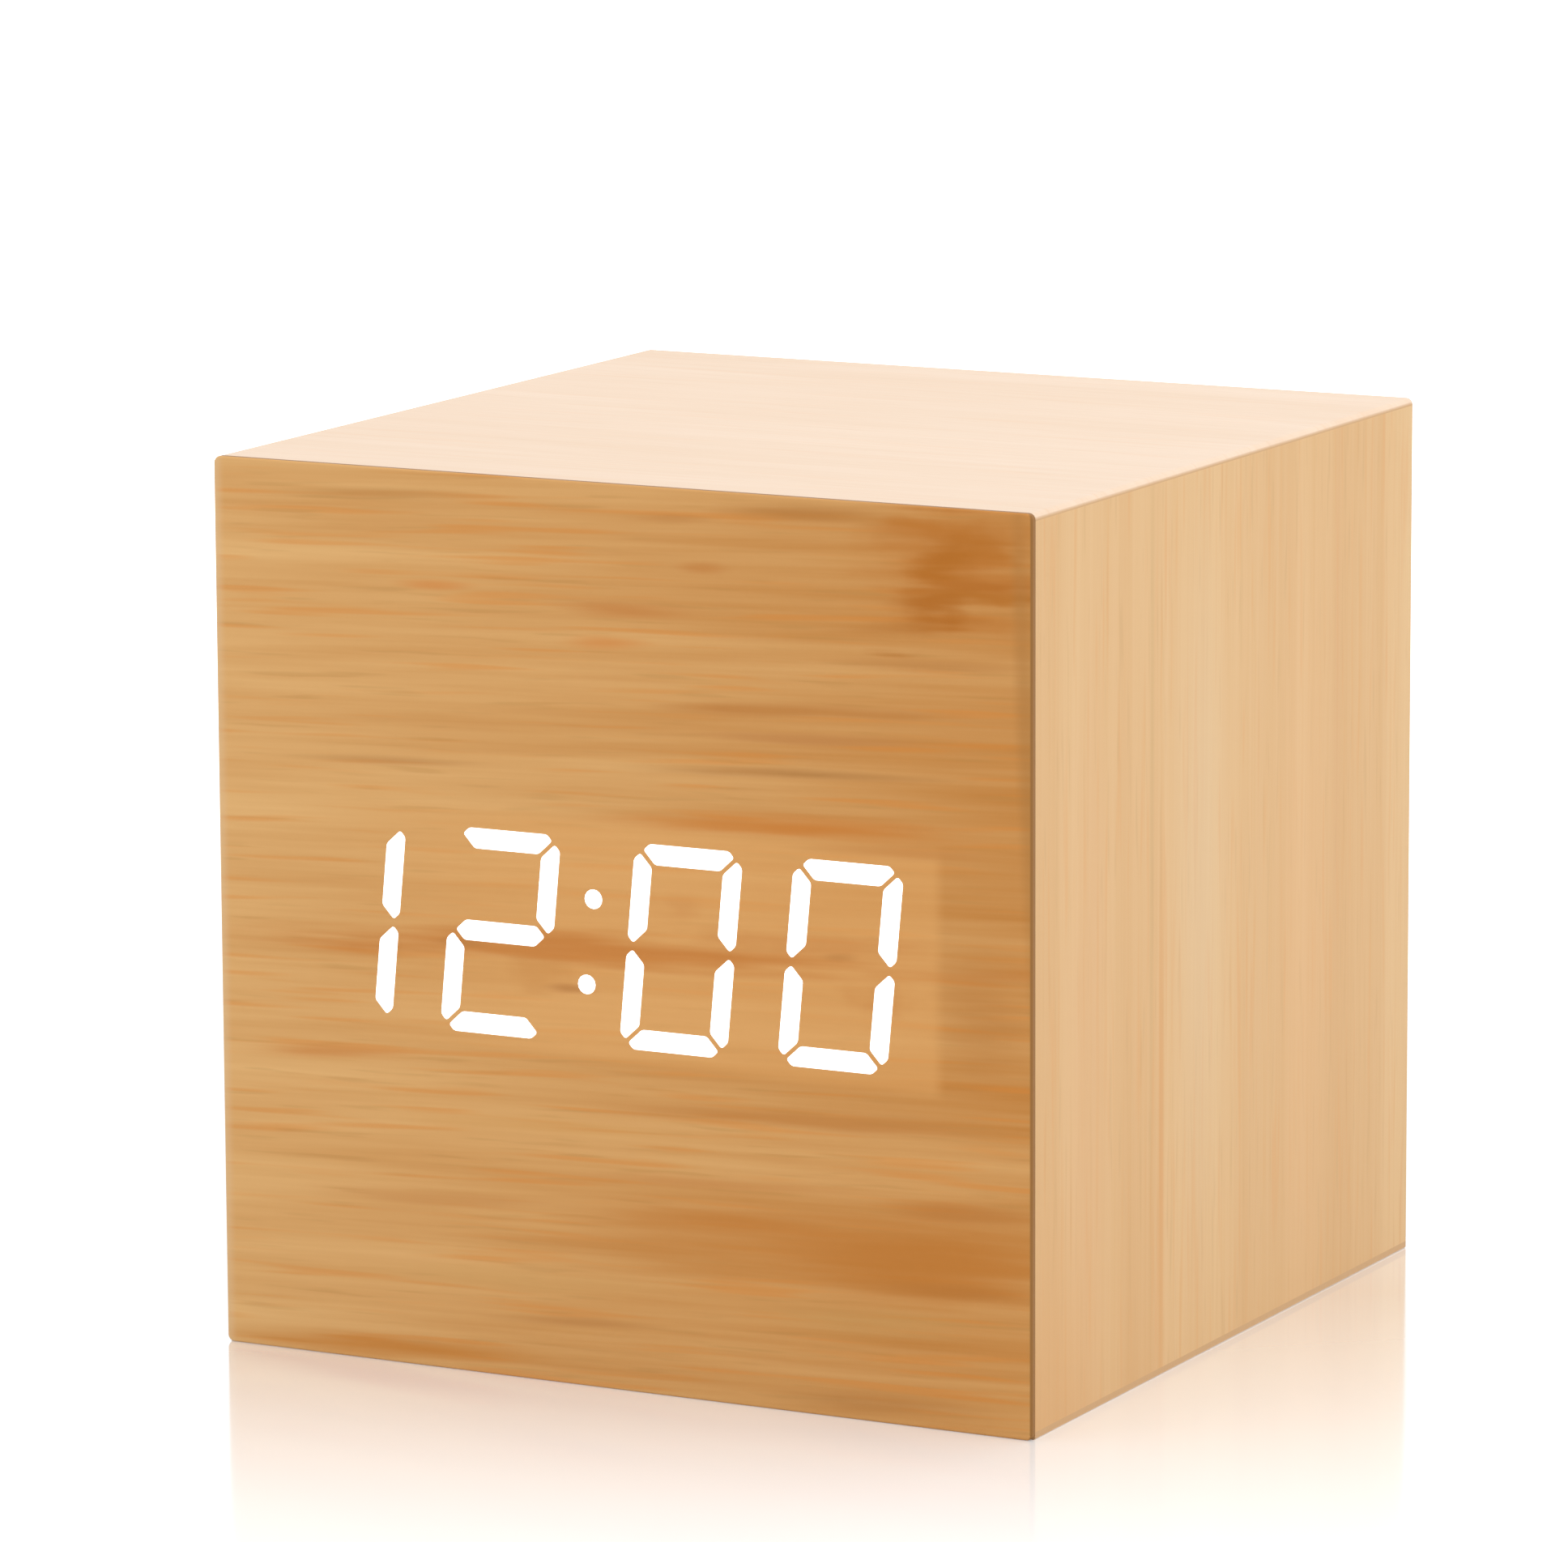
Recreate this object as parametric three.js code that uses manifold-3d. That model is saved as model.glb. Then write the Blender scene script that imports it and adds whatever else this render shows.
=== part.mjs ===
// Wooden cube alarm clock with a lit display in its front face.
// Millimetres, +Z up. The origin is the middle of the underside, and the display faces -Y.

import * as THREE from "three";
import { mergeVertices } from "three/addons/utils/BufferGeometryUtils.js";
import Module from "manifold-3d";

const wasm = await Module();
wasm.setup();

// Case: four mitred boards round an inset front board, all under a thin veneer
const caseWidth = 60;
const caseDepth = 60;
const caseHeight = 60;
const veneerThickness = 0.5;
const boardThickness = 3.5;
const frontBoardThickness = 3.5;
const cornerBlockWidth = 5.4;
const cornerBlockHeight = 5.8;
const cornerBlockDepth = 8;

// Display window and the digits behind it
const windowSideStrip = 2.5;
const displayWindowHeight = 16;
const displayCentreHeight = 29.8;
const digitHeight = 13.7;
const digitGap = 3.68;
const colonGap = 5.48;
const rowStartInset = 3.25;
const rowEndInset = 3.19;
const strokeWidth = 1.36;
const strokeChamfer = 0.42;
const mitreGap = 0.32;
const middleGap = 0.46;
const slantDegrees = 5.5;
const colonDotDiameter = 1.3;
const colonDotSpacing = 5.7;

// Reflector, its light guides and the display board
const reflectorDepth = 7;
const reflectorFit = 0.15;
const flangeThickness = 1.5;
const flangeHeight = 24;
const flangeSideGap = 0.5;
const standoffDiameter = 4;
const standoffInset = 3;
const guideFit = 0.05;
const guidePlateThickness = 0.8;
const guidePlateMargin = 0.3;
const guidePocketDepth = 2.4;
const guidePocketFit = 0.1;
const unlitSetback = 0.1;
const displayBoardThickness = 1.2;
const locatingPinDiameter = 1.6;
const locatingPinProud = 0.5;
const ledLength = 1.6;
const ledWidth = 0.8;
const ledHeight = 0.6;
const headerEnd = 0.4;
const headerHeight = 2.8;
const headerDepth = 2.5;
const headerDrop = 5.8;

// Screws
const smallScrewDiameter = 1.6;
const smallScrewHeadDiameter = 3.2;
const smallScrewHeadHeight = 1.2;
const displayScrewBite = 2.2;
const mainScrewBite = 3.4;
const coverScrewDiameter = 2.2;
const coverScrewHeadDiameter = 4.4;
const coverScrewHeadHeight = 1.4;
const coverScrewBite = 6;
const screwHoleFit = 0.15;
const screwPilotFit = 0.05;
const screwSlotWidth = 0.6;
const screwSlotDepth = 0.7;
const screwSlotLength = 2.4;
const screwHeadSideShare = 0.5;
const screwHeadTopShare = 0.67;

// Back cover
const coverRecess = 2;
const coverThickness = 2;
const coverEdgeGap = 0.2;
const coverBottomStrip = 5.2;
const coverSideStrip = 1.9;
const controlStripHeight = 13.5;
const tongueWidth = 8.6;
const tongueThickness = 1.2;
const tongueLength = 3.4;
const tongueSpread = 10;
const tongueLift = 0.9;
const cleatLength = 30;
const cleatHeight = 3.8;
const cleatDepth = 3.4;
const cleatGap = 0.2;
const tongueSlotFit = 0.15;

// Cells, their bay and their contacts
const cellCount = 3;
const cellNubDiameter = 3.8;
const cellNubLength = 1;
const cellRimRound = 0.5;
const cellGap = 0.4;
const bayEndGap = 0.3;
const bayFloorGap = 0.2;
const bayWall = 1.2;
const bayRibHeight = 2;
const bayRibWidth = 1.2;
const contactThickness = 0.4;
const contactEndInset = 1.25;
const contactDepthInset = 2.9;
const contactTabWidth = 2;
const contactTabLength = 1.6;
const contactSlotFit = 0.2;
const springLength = 2.5;
const springWireDiameter = 0.45;
const springEndInset = 0.5;
const springTipDiameter = 4;
const springTurns = 2.25;
const springEndGap = 0.05;

// Battery door
const doorThickness = 1.5;
const doorSeatGap = 0.1;
const doorEdgeGap = 0.2;
const doorSideLap = 0.1;
const doorBottomLap = 0.5;
const doorTopLap = 0.7;
const doorCellGap = 0.4;
const gripRidgeCount = 3;
const gripRidgeLength = 12;
const gripRidgeWidth = 0.7;
const gripRidgeHeight = 0.3;
const gripRidgePitch = 1.6;
const gripTopInset = 3;
const hookWidth = 6;
const hookThickness = 1;
const hookDrop = 1.3;
const hookRise = 1.1;
const hookInset = 4.5;
const hookGap = 0.1;
const hookNeckGap = 0.2;
const hookSwing = 0.6;
const hookSideGap = 0.3;
const latchWidth = 12;
const latchThickness = 1;
const latchGap = 1.2;
const latchDepth = 3.9;
const latchNibHeight = 0.3;
const latchNibLength = 0.9;
const latchSwing = 0.7;
const latchSideGap = 0.4;
const latchTipInset = 0.2;
const fingerRecessWidth = 10;
const fingerRecessHeight = 1.5;
const fingerRecessDepth = 1;

// Push buttons and their switches
const controlRowDrop = 5.6;
const buttonFlangeStep = 0.8;
const buttonProud = 0.6;
const buttonEdgeRound = 0.3;
const buttonHoleFit = 0.15;
const buttonFlangeLap = 0.3;
const buttonFlangeThickness = 0.75;
const buttonFlangeGap = 0.05;
const switchGap = 1.6;
const switchPostGap = 1.7;
const switchDepth = 3.4;
const switchBoreDepth = 1.6;
const plungerDiameter = 2.4;
const plungerSeat = 0.8;
const plungerFit = 0.15;

// Main board and what it carries
const mainBoardEndGap = 0.4;
const mainBoardHeight = 10.8;
const mainBoardThickness = 1.2;
const mainBoardDrop = 0.4;
const mainBoardStandoff = 5.2;
const postDiameter = 3.4;
const postInset = 2.2;
const postRise = 2.5;
const postBoreEnd = 1;
const socketPostGap = 0.95;
const socketSwitchGap = 1.25;
const socketHeight = 2.6;
const socketWall = 0.3;
const socketFloor = 0.4;
const socketChamfer = 0.7;
const socketSetback = 0.8;
const socketHoleFit = 0.25;
const tongueBladeSideGap = 1.45;
const tongueBladeThickness = 0.7;
const tongueBladeSetback = 0.6;
const microphoneDiameter = 4;
const microphoneLength = 2.2;
const microphoneGap = 0.3;
const microphoneDrop = 3.2;
const microphoneHoleDiameter = 1.6;
const leadDiameter = 0.6;
const leadSpread = 1.27;
const chipLength = 7;
const chipHeight = 1.4;
const chipCrystalGap = 0.6;
const chipLegLength = 0.8;
const chipLegWidth = 0.4;
const chipLegThickness = 0.3;
const chipLegCount = 6;
const chipLegPitch = 1;
const buzzerEdgeGap = 0.9;
const buzzerHeight = 5;
const buzzerHoleDiameter = 2;
const buzzerHoleDepth = 1;
const buzzerChipGap = 1.2;
const crystalLength = 8.4;
const crystalHeight = 3.4;
const crystalCapacitorGap = 1.1;
const capacitorHeight = 8;
const capacitorRise = 1.6;
const capacitorRimRound = 0.4;
const sensorBeadDiameter = 2.2;
const sensorLeadLength = 4;
const sensorChipOffset = 2.5;
const sensorDrop = 4.6;
const ribbonCrystalGap = 0.2;
const ribbonWireGap = 1;
const ribbonThickness = 0.9;
const ribbonRise = 1.8;
const ribbonSlack = 23.5;
const ribbonEndGap = 0.3;
const ribbonSteps = 20;
const wireDiameter = 1.2;
const wireEndGap = 0.3;
const wireSteps = 22;
const wireSides = 8;
const wireRise = 2;
const wireBoardInset = 1.8;
const wireBow = 2.4;

// Numbers of sides on round pieces
const largeRoundSides = 24;
const smallRoundSides = 16;
const holeSides = 12;
const springStepsPerTurn = 8;
const springSides = 5;

// How the digits share the row's width, and how the parts in a row on the main board share theirs
const digitShares = [0.5, 1, 1, 1];
const socketShare = 5;
const switchShare = 4;
const capacitorMarginShare = 13;
const capacitorShare = 50;
const crystalShare = 36;
const chipShare = 70;
const buzzerMarginShare = 24;

// How far a cut runs past a face, or a joined piece runs into another
const overrun = 0.2;

// Derived places
const front = -caseDepth / 2;
const rear = caseDepth / 2;
const halfWidth = caseWidth / 2;
const boardFront = front + veneerThickness;
const wall = veneerThickness + boardThickness;
const innerHalfWidth = halfWidth - wall;
const innerBottom = wall;
const innerTop = caseHeight - wall;
const frontBoardRear = boardFront + frontBoardThickness;
const displayWindowWidth = 2 * (innerHalfWidth - windowSideStrip);
const displayBoardFront = boardFront + reflectorDepth;
const displayBoardRear = displayBoardFront + displayBoardThickness;
const pocketFloor = displayBoardFront - guidePocketDepth;
const flangeRear = frontBoardRear + flangeThickness;
const flangeHalfWidth = innerHalfWidth - flangeSideGap;
const standoffX = flangeHalfWidth - standoffInset;
const standoffZ = (displayWindowHeight + flangeHeight) / 4;
const coverRear = rear - coverRecess;
const coverFront = coverRear - coverThickness;
const coverHalfWidth = innerHalfWidth - coverEdgeGap;
const coverBottom = innerBottom + coverEdgeGap;
const coverTop = innerTop - coverEdgeGap;
const bayHalfWidth = coverHalfWidth - coverSideStrip;
const bayBottom = coverBottom + coverBottomStrip;
const bayTop = coverTop - controlStripHeight;
const cellLength = 2 * (bayHalfWidth - contactThickness) - springLength;
const cellRun = bayTop - bayBottom - 2 * bayEndGap - (cellCount - 1) * cellGap;
const cellDiameter = cellRun / cellCount;
const contactHeight = cellDiameter - 2 * contactEndInset;
const contactDepth = cellDiameter - contactDepthInset;
const springOuterDiameter = contactHeight - 2 * springEndInset;
const doorFront = coverRear - doorThickness;
const doorBottom = bayBottom - doorBottomLap;
const doorTop = bayTop + doorTopLap;
const doorHalfWidth = bayHalfWidth + doorSideLap;
const hookX = doorHalfWidth - hookInset;
const cellAxisY = doorFront - doorCellGap - cellDiameter / 2;
const bayFloorRear = cellAxisY - cellDiameter / 2 - bayFloorGap;
const bayFloorFront = bayFloorRear - bayWall;
const latchTop = doorTop + latchGap + latchThickness;
const latchNotchTop = latchTop + latchSwing;
const controlRowHeight = innerTop - controlRowDrop;
const mainBoardRear = coverFront - mainBoardStandoff;
const mainBoardFront = mainBoardRear - mainBoardThickness;
const mainBoardCentreZ = controlRowHeight - mainBoardDrop;
const mainBoardBottom = mainBoardCentreZ - mainBoardHeight / 2;
const mainBoardHalfWidth = innerHalfWidth - cornerBlockWidth - mainBoardEndGap;
const postX = mainBoardHalfWidth - postInset;
const postZ = controlRowHeight + postRise;
const coverScrewX = innerHalfWidth - cornerBlockWidth / 2;
const coverScrewZ = innerTop - cornerBlockHeight / 2;
const slant = Math.tan(THREE.MathUtils.degToRad(slantDegrees));

// The row of digits fills the window, with half a digit's width for the tens of the hours
const rowStart = rowStartInset - displayWindowWidth / 2;
const rowEnd = displayWindowWidth / 2 - rowEndInset;
const digitRun = rowEnd - rowStart - 2 * digitGap - colonGap;
const digitWidth = digitRun / digitShares.reduce((sum, share) => sum + share);
const hoursUnitsX = rowStart + digitWidth + digitGap;
const minutesTensX = hoursUnitsX + digitWidth + colonGap;
const minutesUnitsX = minutesTensX + digitWidth + digitGap;
const colonX = (hoursUnitsX + minutesTensX) / 2;

// The power socket and the three switches stand in a row between the two posts
const buttonNames = ["set", "up", "down"];
const controlStart = postDiameter / 2 - postX + socketPostGap;
const controlEnd = postX - postDiameter / 2 - switchPostGap;
const controlRun = controlEnd - controlStart - socketSwitchGap - (buttonNames.length - 1) * switchGap;
const controlUnit = controlRun / (socketShare + buttonNames.length * switchShare);
const socketWidth = socketShare * controlUnit;
const socketCentreX = controlStart + socketWidth / 2;
const switchWidth = switchShare * controlUnit;
const buttonX = buttonNames.map(
  (_, i) => controlStart + socketWidth + socketSwitchGap + switchWidth / 2 + i * (switchWidth + switchGap),
);
const buttonFlangeDiameter = switchWidth + 2 * buttonFlangeLap;
const buttonDiameter = buttonFlangeDiameter - 2 * buttonFlangeStep;
const tongueBladeWidth = socketWidth - 2 * tongueBladeSideGap;

// The capacitor, crystal, chip and buzzer stand in a row between the heads of the two board screws
const partsEnd = postX - smallScrewHeadDiameter / 2;
const buzzerDiameter = mainBoardHeight - 2 * buzzerEdgeGap;
const partsGaps = crystalCapacitorGap + chipCrystalGap + 2 * chipLegLength + buzzerChipGap;
const partsRun = 2 * partsEnd - buzzerDiameter - partsGaps;
const partsShares = [capacitorMarginShare, capacitorShare, crystalShare, chipShare, buzzerMarginShare];
const partsUnit = partsRun / partsShares.reduce((sum, share) => sum + share);
const capacitorDiameter = capacitorShare * partsUnit;
const capacitorLeft = capacitorMarginShare * partsUnit - partsEnd;
const capacitorX = capacitorLeft + capacitorDiameter / 2;
const crystalWidth = crystalShare * partsUnit;
const crystalLeft = capacitorLeft + capacitorDiameter + crystalCapacitorGap;
const crystalX = crystalLeft + crystalWidth / 2;
const chipWidth = chipShare * partsUnit;
const chipSpan = chipWidth + 2 * chipLegLength;
const chipX = crystalLeft + crystalWidth + chipCrystalGap + chipSpan / 2;
const sensorX = chipX + sensorChipOffset;
const buzzerX = partsEnd - buzzerMarginShare * partsUnit - buzzerDiameter / 2;

// The ribbon cable ends between the negative wire and the crystal
const wireEndX = mainBoardHalfWidth - wireBoardInset;
const ribbonLeft = wireDiameter / 2 - wireEndX + ribbonWireGap;
const ribbonRight = crystalLeft - ribbonCrystalGap;
const ribbonWidth = ribbonRight - ribbonLeft;
const ribbonX = (ribbonLeft + ribbonRight) / 2;
const headerWidth = ribbonWidth + 2 * headerEnd;

const cellHeights = Array.from(
  { length: cellCount },
  (_, i) => bayBottom + bayEndGap + cellDiameter / 2 + i * (cellDiameter + cellGap),
);

function finish(color, roughness, metalness = 0) {
  return new THREE.MeshStandardMaterial({ color, roughness, metalness, flatShading: true });
}

const finishes = {
  frontVeneer: () => finish(0xd09a58, 0.5),
  sideVeneer: () => finish(0xe0b98a, 0.5),
  fibreboard: () => finish(0xb08a5c, 0.85),
  softwood: () => finish(0xd8bb88, 0.8),
  whitePlastic: () => finish(0xf2f2ee, 0.5),
  lightGuide: () => finish(0xffffff, 0.35),
  blackPlastic: () => finish(0x1b1b1d, 0.55),
  greyPlastic: () => finish(0x3a3b3e, 0.5),
  circuitBoard: () => finish(0x1f5a36, 0.45),
  chipPlastic: () => finish(0x17181a, 0.4),
  nickel: () => finish(0xc9cacb, 0.3, 1),
  screwSteel: () => finish(0x8d8f92, 0.35, 1),
  cellJacket: () => finish(0x2d6a4f, 0.35),
  sleeve: () => finish(0x22304f, 0.4),
  epoxy: () => finish(0x2b2522, 0.35),
  ribbonGrey: () => finish(0xb9bcc0, 0.6),
  redWire: () => finish(0xb3261e, 0.5),
  blackWire: () => finish(0x202022, 0.5),
};

// A closed manifold body from a three.js geometry
function toSolid(geometry) {
  geometry.deleteAttribute("normal");
  geometry.deleteAttribute("uv");
  const merged = mergeVertices(geometry);
  const index = merged.index.array;
  const triangles = [];
  for (let i = 0; i < index.length; i += 3) {
    const [a, b, c] = [index[i], index[i + 1], index[i + 2]];
    if (a !== b && b !== c && c !== a) triangles.push(a, b, c);
  }
  return new wasm.Manifold(
    new wasm.Mesh({
      numProp: 3,
      vertProperties: merged.attributes.position.array,
      triVerts: new Uint32Array(triangles),
    }),
  );
}

// Moves each point of a geometry to what the function makes of it
function mapPoints(geometry, move) {
  const points = geometry.attributes.position;
  for (let i = 0; i < points.count; i += 1) {
    points.setXYZ(i, ...move(points.getX(i), points.getY(i), points.getZ(i)));
  }
  return geometry;
}

// A box between two limits on each axis
function block([x0, x1], [y0, y1], [z0, z1]) {
  const unit = new THREE.BoxGeometry(1, 1, 1);
  return toSolid(
    mapPoints(unit, (x, y, z) => [x < 0 ? x0 : x1, y < 0 ? y0 : y1, z < 0 ? z0 : z1]),
  );
}

// An outline of [first, second] points run along an axis: x,z points run along Y, y,z points along X
function prism(outline, axis, from, to) {
  const shape = new THREE.Shape(outline.map(([u, v]) => new THREE.Vector2(u, v)));
  const unit = new THREE.ExtrudeGeometry(shape, { depth: 1, bevelEnabled: false });
  const moves = {
    x: (u, v, w) => [w > 0 ? to : from, u, v],
    y: (u, v, w) => [u, w > 0 ? from : to, v],
    z: (u, v, w) => [u, v, w > 0 ? to : from],
  };
  return toSolid(mapPoints(unit, moves[axis]));
}

// A turned piece: [radius, place along the axis] points, spun about an axis through [first, second]
function turned(profile, axis, [first, second], sides) {
  const lathe = new THREE.LatheGeometry(
    profile.map(([radius, along]) => new THREE.Vector2(radius, along)),
    sides,
  );
  const moves = {
    x: (x, y, z) => [y, z + first, x + second],
    y: (x, y, z) => [x + first, y, z + second],
  };
  return toSolid(mapPoints(lathe, moves[axis]));
}

function rod(axis, centre, diameter, from, to, sides = smallRoundSides) {
  const radius = diameter / 2;
  return turned([[0, from], [radius, from], [radius, to], [0, to]], axis, centre, sides);
}

function join(first, ...others) {
  return others.reduce((sum, next) => sum.add(next), first);
}

function cut(first, ...others) {
  return others.reduce((rest, next) => rest.subtract(next), first);
}

const about = (centre, size) => [centre - size / 2, centre + size / 2];
const within = (half) => [-half, half];

const clock = new THREE.Group();

function assembly() {
  const group = new THREE.Group();
  clock.add(group);
  return group;
}

// Adds a named piece to an assembly
function place(group, name, solid, material, position = [0, 0, 0]) {
  const { vertProperties, triVerts } = solid.getMesh();
  const geometry = new THREE.BufferGeometry();
  geometry.setAttribute("position", new THREE.BufferAttribute(vertProperties, 3));
  geometry.setIndex(new THREE.BufferAttribute(triVerts, 1));
  geometry.computeVertexNormals();
  const mesh = new THREE.Mesh(geometry, material);
  mesh.name = name;
  mesh.position.set(...position);
  group.add(mesh);
}

// A pan-head screw on the Y axis, its head's underside at zero and its head on the given side
function screw(diameter, headDiameter, headHeight, bite, side) {
  const radius = headDiameter / 2;
  const profile = [
    [0, 0],
    [radius, 0],
    [radius, headHeight * screwHeadSideShare],
    [radius * screwHeadTopShare, headHeight],
    [0, headHeight],
  ];
  const turnedProfile = side > 0 ? profile : profile.map(([r, y]) => [r, -y]).reverse();
  const head = turned(turnedProfile, "y", [0, 0], smallRoundSides);
  const ends = side > 0 ? [-bite, overrun] : [-overrun, bite];
  return join(head, rod("y", [0, 0], diameter, ...ends, holeSides));
}

// Digits: each bar is a hexagon with its tips towards the outer side of the digit
const barHalf = strokeWidth / 2;
const tipOffset = barHalf - strokeChamfer;
const barCentreX = (digitWidth - strokeWidth) / 2;
const barCentreZ = (digitHeight - strokeWidth) / 2;
const tipX = barCentreX + tipOffset;
const tipZ = barCentreZ + tipOffset;
const tipTrim = mitreGap / Math.SQRT2;
const uprightFoot = middleGap / 2;
const uprightHead = tipZ - tipTrim;
const uprightMiddle = (uprightHead + uprightFoot) / 2;
const uprightHalf = (uprightHead - uprightFoot) / 2;
const levelHalf = tipX - tipTrim;
const middleHalf = tipX + uprightFoot - mitreGap * Math.SQRT2;

// Each bar: its middle, its half length, the way it runs and the side its tips lean to
const level = { half: levelHalf, along: [1, 0], lean: tipOffset };
const upright = { half: uprightHalf, along: [0, 1], lean: tipOffset };
const bars = {
  a: { ...level, x: 0, z: barCentreZ, outer: [0, 1] },
  b: { ...upright, x: barCentreX, z: uprightMiddle, outer: [1, 0] },
  c: { ...upright, x: barCentreX, z: -uprightMiddle, outer: [1, 0] },
  d: { ...level, x: 0, z: -barCentreZ, outer: [0, -1] },
  e: { ...upright, x: -barCentreX, z: -uprightMiddle, outer: [-1, 0] },
  f: { ...upright, x: -barCentreX, z: uprightMiddle, outer: [-1, 0] },
  g: { x: 0, z: 0, half: middleHalf, along: [1, 0], outer: [0, 1], lean: 0 },
};

// The places of the digits along the row, the bars each has and the bars that are lit
const digits = [
  { name: "hours_tens", x: rowStart, has: "bc", lit: "bc" },
  { name: "hours_units", x: hoursUnitsX, has: "abcdefg", lit: "abged" },
  { name: "minutes_tens", x: minutesTensX, has: "abcdefg", lit: "abcdef" },
  { name: "minutes_units", x: minutesUnitsX, has: "abcdefg", lit: "abcdef" },
];

const colonDots = [colonDotSpacing / 2, -colonDotSpacing / 2].map((z) => [
  colonX + z * slant,
  displayCentreHeight + z,
]);

// The slanted outline of one bar of a digit, grown all round by a fit
function barOutline(letter, digitX, grown) {
  const { x, z, half, along, outer, lean } = bars[letter];
  const side = barHalf + grown;
  const tip = half + grown * Math.SQRT2;
  const corners = [
    [tip, lean],
    [tip - side + lean, side],
    [side - lean - tip, side],
    [-tip, lean],
    [side + lean - tip, -side],
    [tip - side - lean, -side],
  ];
  const placed = corners.map(([run, out]) => {
    const localX = x + along[0] * run + outer[0] * out;
    const localZ = z + along[1] * run + outer[1] * out;
    return [digitX + localX + localZ * slant, displayCentreHeight + localZ];
  });
  return THREE.ShapeUtils.isClockWise(placed.map(([u, v]) => new THREE.Vector2(u, v)))
    ? placed.reverse()
    : placed;
}

function limitsOf(points) {
  const xs = points.map(([x]) => x);
  const zs = points.map(([, z]) => z);
  return [
    [Math.min(...xs), Math.max(...xs)],
    [Math.min(...zs), Math.max(...zs)],
  ];
}

const widen = ([low, high], by) => [low - by, high + by];

// The plate that carries the bars of one digit, as its limits along X and Z
function digitPlate({ x, has }) {
  const points = [...has].flatMap((letter) => barOutline(letter, x, 0));
  return limitsOf(points).map((limits) => widen(limits, guidePlateMargin));
}

function colonPlate() {
  return limitsOf(colonDots).map((limits) => widen(limits, colonDotDiameter / 2 + guidePlateMargin));
}

function makeCase() {
  const group = assembly();
  const corner = halfWidth - veneerThickness;
  const inner = innerHalfWidth;
  const [low, high] = [veneerThickness, caseHeight - veneerThickness];
  const boards = {
    top_board: [[-corner, high], [-inner, innerTop], [inner, innerTop], [corner, high]],
    bottom_board: [[-corner, low], [corner, low], [inner, innerBottom], [-inner, innerBottom]],
    left_board: [[-corner, low], [-inner, innerBottom], [-inner, innerTop], [-corner, high]],
    right_board: [[corner, low], [corner, high], [inner, innerTop], [inner, innerBottom]],
  };
  for (const [name, outline] of Object.entries(boards)) {
    place(group, name, prism(outline, "y", boardFront, rear), finishes.fibreboard());
  }
  place(group, "front_board", frontBoard(), finishes.fibreboard());
  const depth = [boardFront, rear];
  const veneers = {
    top_veneer: block(within(halfWidth), depth, [high, caseHeight]),
    bottom_veneer: block(within(halfWidth), depth, [0, low]),
    left_veneer: block([-halfWidth, -corner], depth, [low, high]),
    right_veneer: block([corner, halfWidth], depth, [low, high]),
  };
  for (const [name, solid] of Object.entries(veneers)) {
    place(group, name, solid, finishes.sideVeneer());
  }
  place(group, "front_veneer", frontVeneer(), finishes.frontVeneer());
  for (const side of [-1, 1]) {
    const name = side < 0 ? "left_corner_block" : "right_corner_block";
    place(group, name, cornerBlock(side), finishes.softwood());
  }
  place(group, "bottom_cleat", bottomCleat(), finishes.softwood());
}

// The front board has the display window and a blind pilot hole for each display screw
function frontBoard() {
  const plain = block(within(innerHalfWidth), [boardFront, frontBoardRear], [innerBottom, innerTop]);
  const window = block(
    within(displayWindowWidth / 2),
    [boardFront - overrun, frontBoardRear + overrun],
    about(displayCentreHeight, displayWindowHeight),
  );
  const pilots = [-1, 1].map((side) =>
    rod(
      "y",
      [side * standoffX, displayCentreHeight - side * standoffZ],
      smallScrewDiameter + 2 * screwPilotFit,
      frontBoardRear - displayScrewBite - 2 * screwPilotFit,
      frontBoardRear + overrun,
      holeSides,
    ),
  );
  return cut(plain, window, ...pilots);
}

// The front veneer is pierced where the lit bars and the two dots show
function frontVeneer() {
  const plain = block(within(halfWidth), [front, boardFront], [0, caseHeight]);
  const past = [front - overrun, boardFront + overrun];
  const windows = digits.flatMap(({ x, lit }) =>
    [...lit].map((letter) => prism(barOutline(letter, x, guideFit), "y", ...past)),
  );
  const dots = colonDots.map((centre) => rod("y", centre, colonDotDiameter + 2 * guideFit, ...past));
  return cut(plain, ...windows, ...dots);
}

function cornerBlock(side) {
  const inner = innerHalfWidth - cornerBlockWidth;
  const plain = block(
    side < 0 ? [-innerHalfWidth, -inner] : [inner, innerHalfWidth],
    [coverFront - cornerBlockDepth, coverFront],
    [innerTop - cornerBlockHeight, innerTop],
  );
  const pilot = rod(
    "y",
    [side * coverScrewX, coverScrewZ],
    coverScrewDiameter + 2 * screwPilotFit,
    coverFront - coverScrewBite - 2 * screwPilotFit,
    coverFront + overrun,
    holeSides,
  );
  return cut(plain, pilot);
}

// The cleat on the bottom board has two slots for the tongues of the back cover
function bottomCleat() {
  const rearFace = coverFront - cleatGap;
  const depth = [rearFace - cleatDepth, rearFace];
  const plain = block(within(cleatLength / 2), depth, [innerBottom, innerBottom + cleatHeight]);
  const tongueBottom = coverBottom + tongueLift;
  const slots = [-1, 1].map((side) =>
    block(
      about(side * tongueSpread, tongueWidth + 2 * tongueSlotFit),
      widen(depth, overrun),
      [tongueBottom - tongueSlotFit, tongueBottom + tongueThickness + tongueSlotFit],
    ),
  );
  return cut(plain, ...slots);
}

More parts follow.
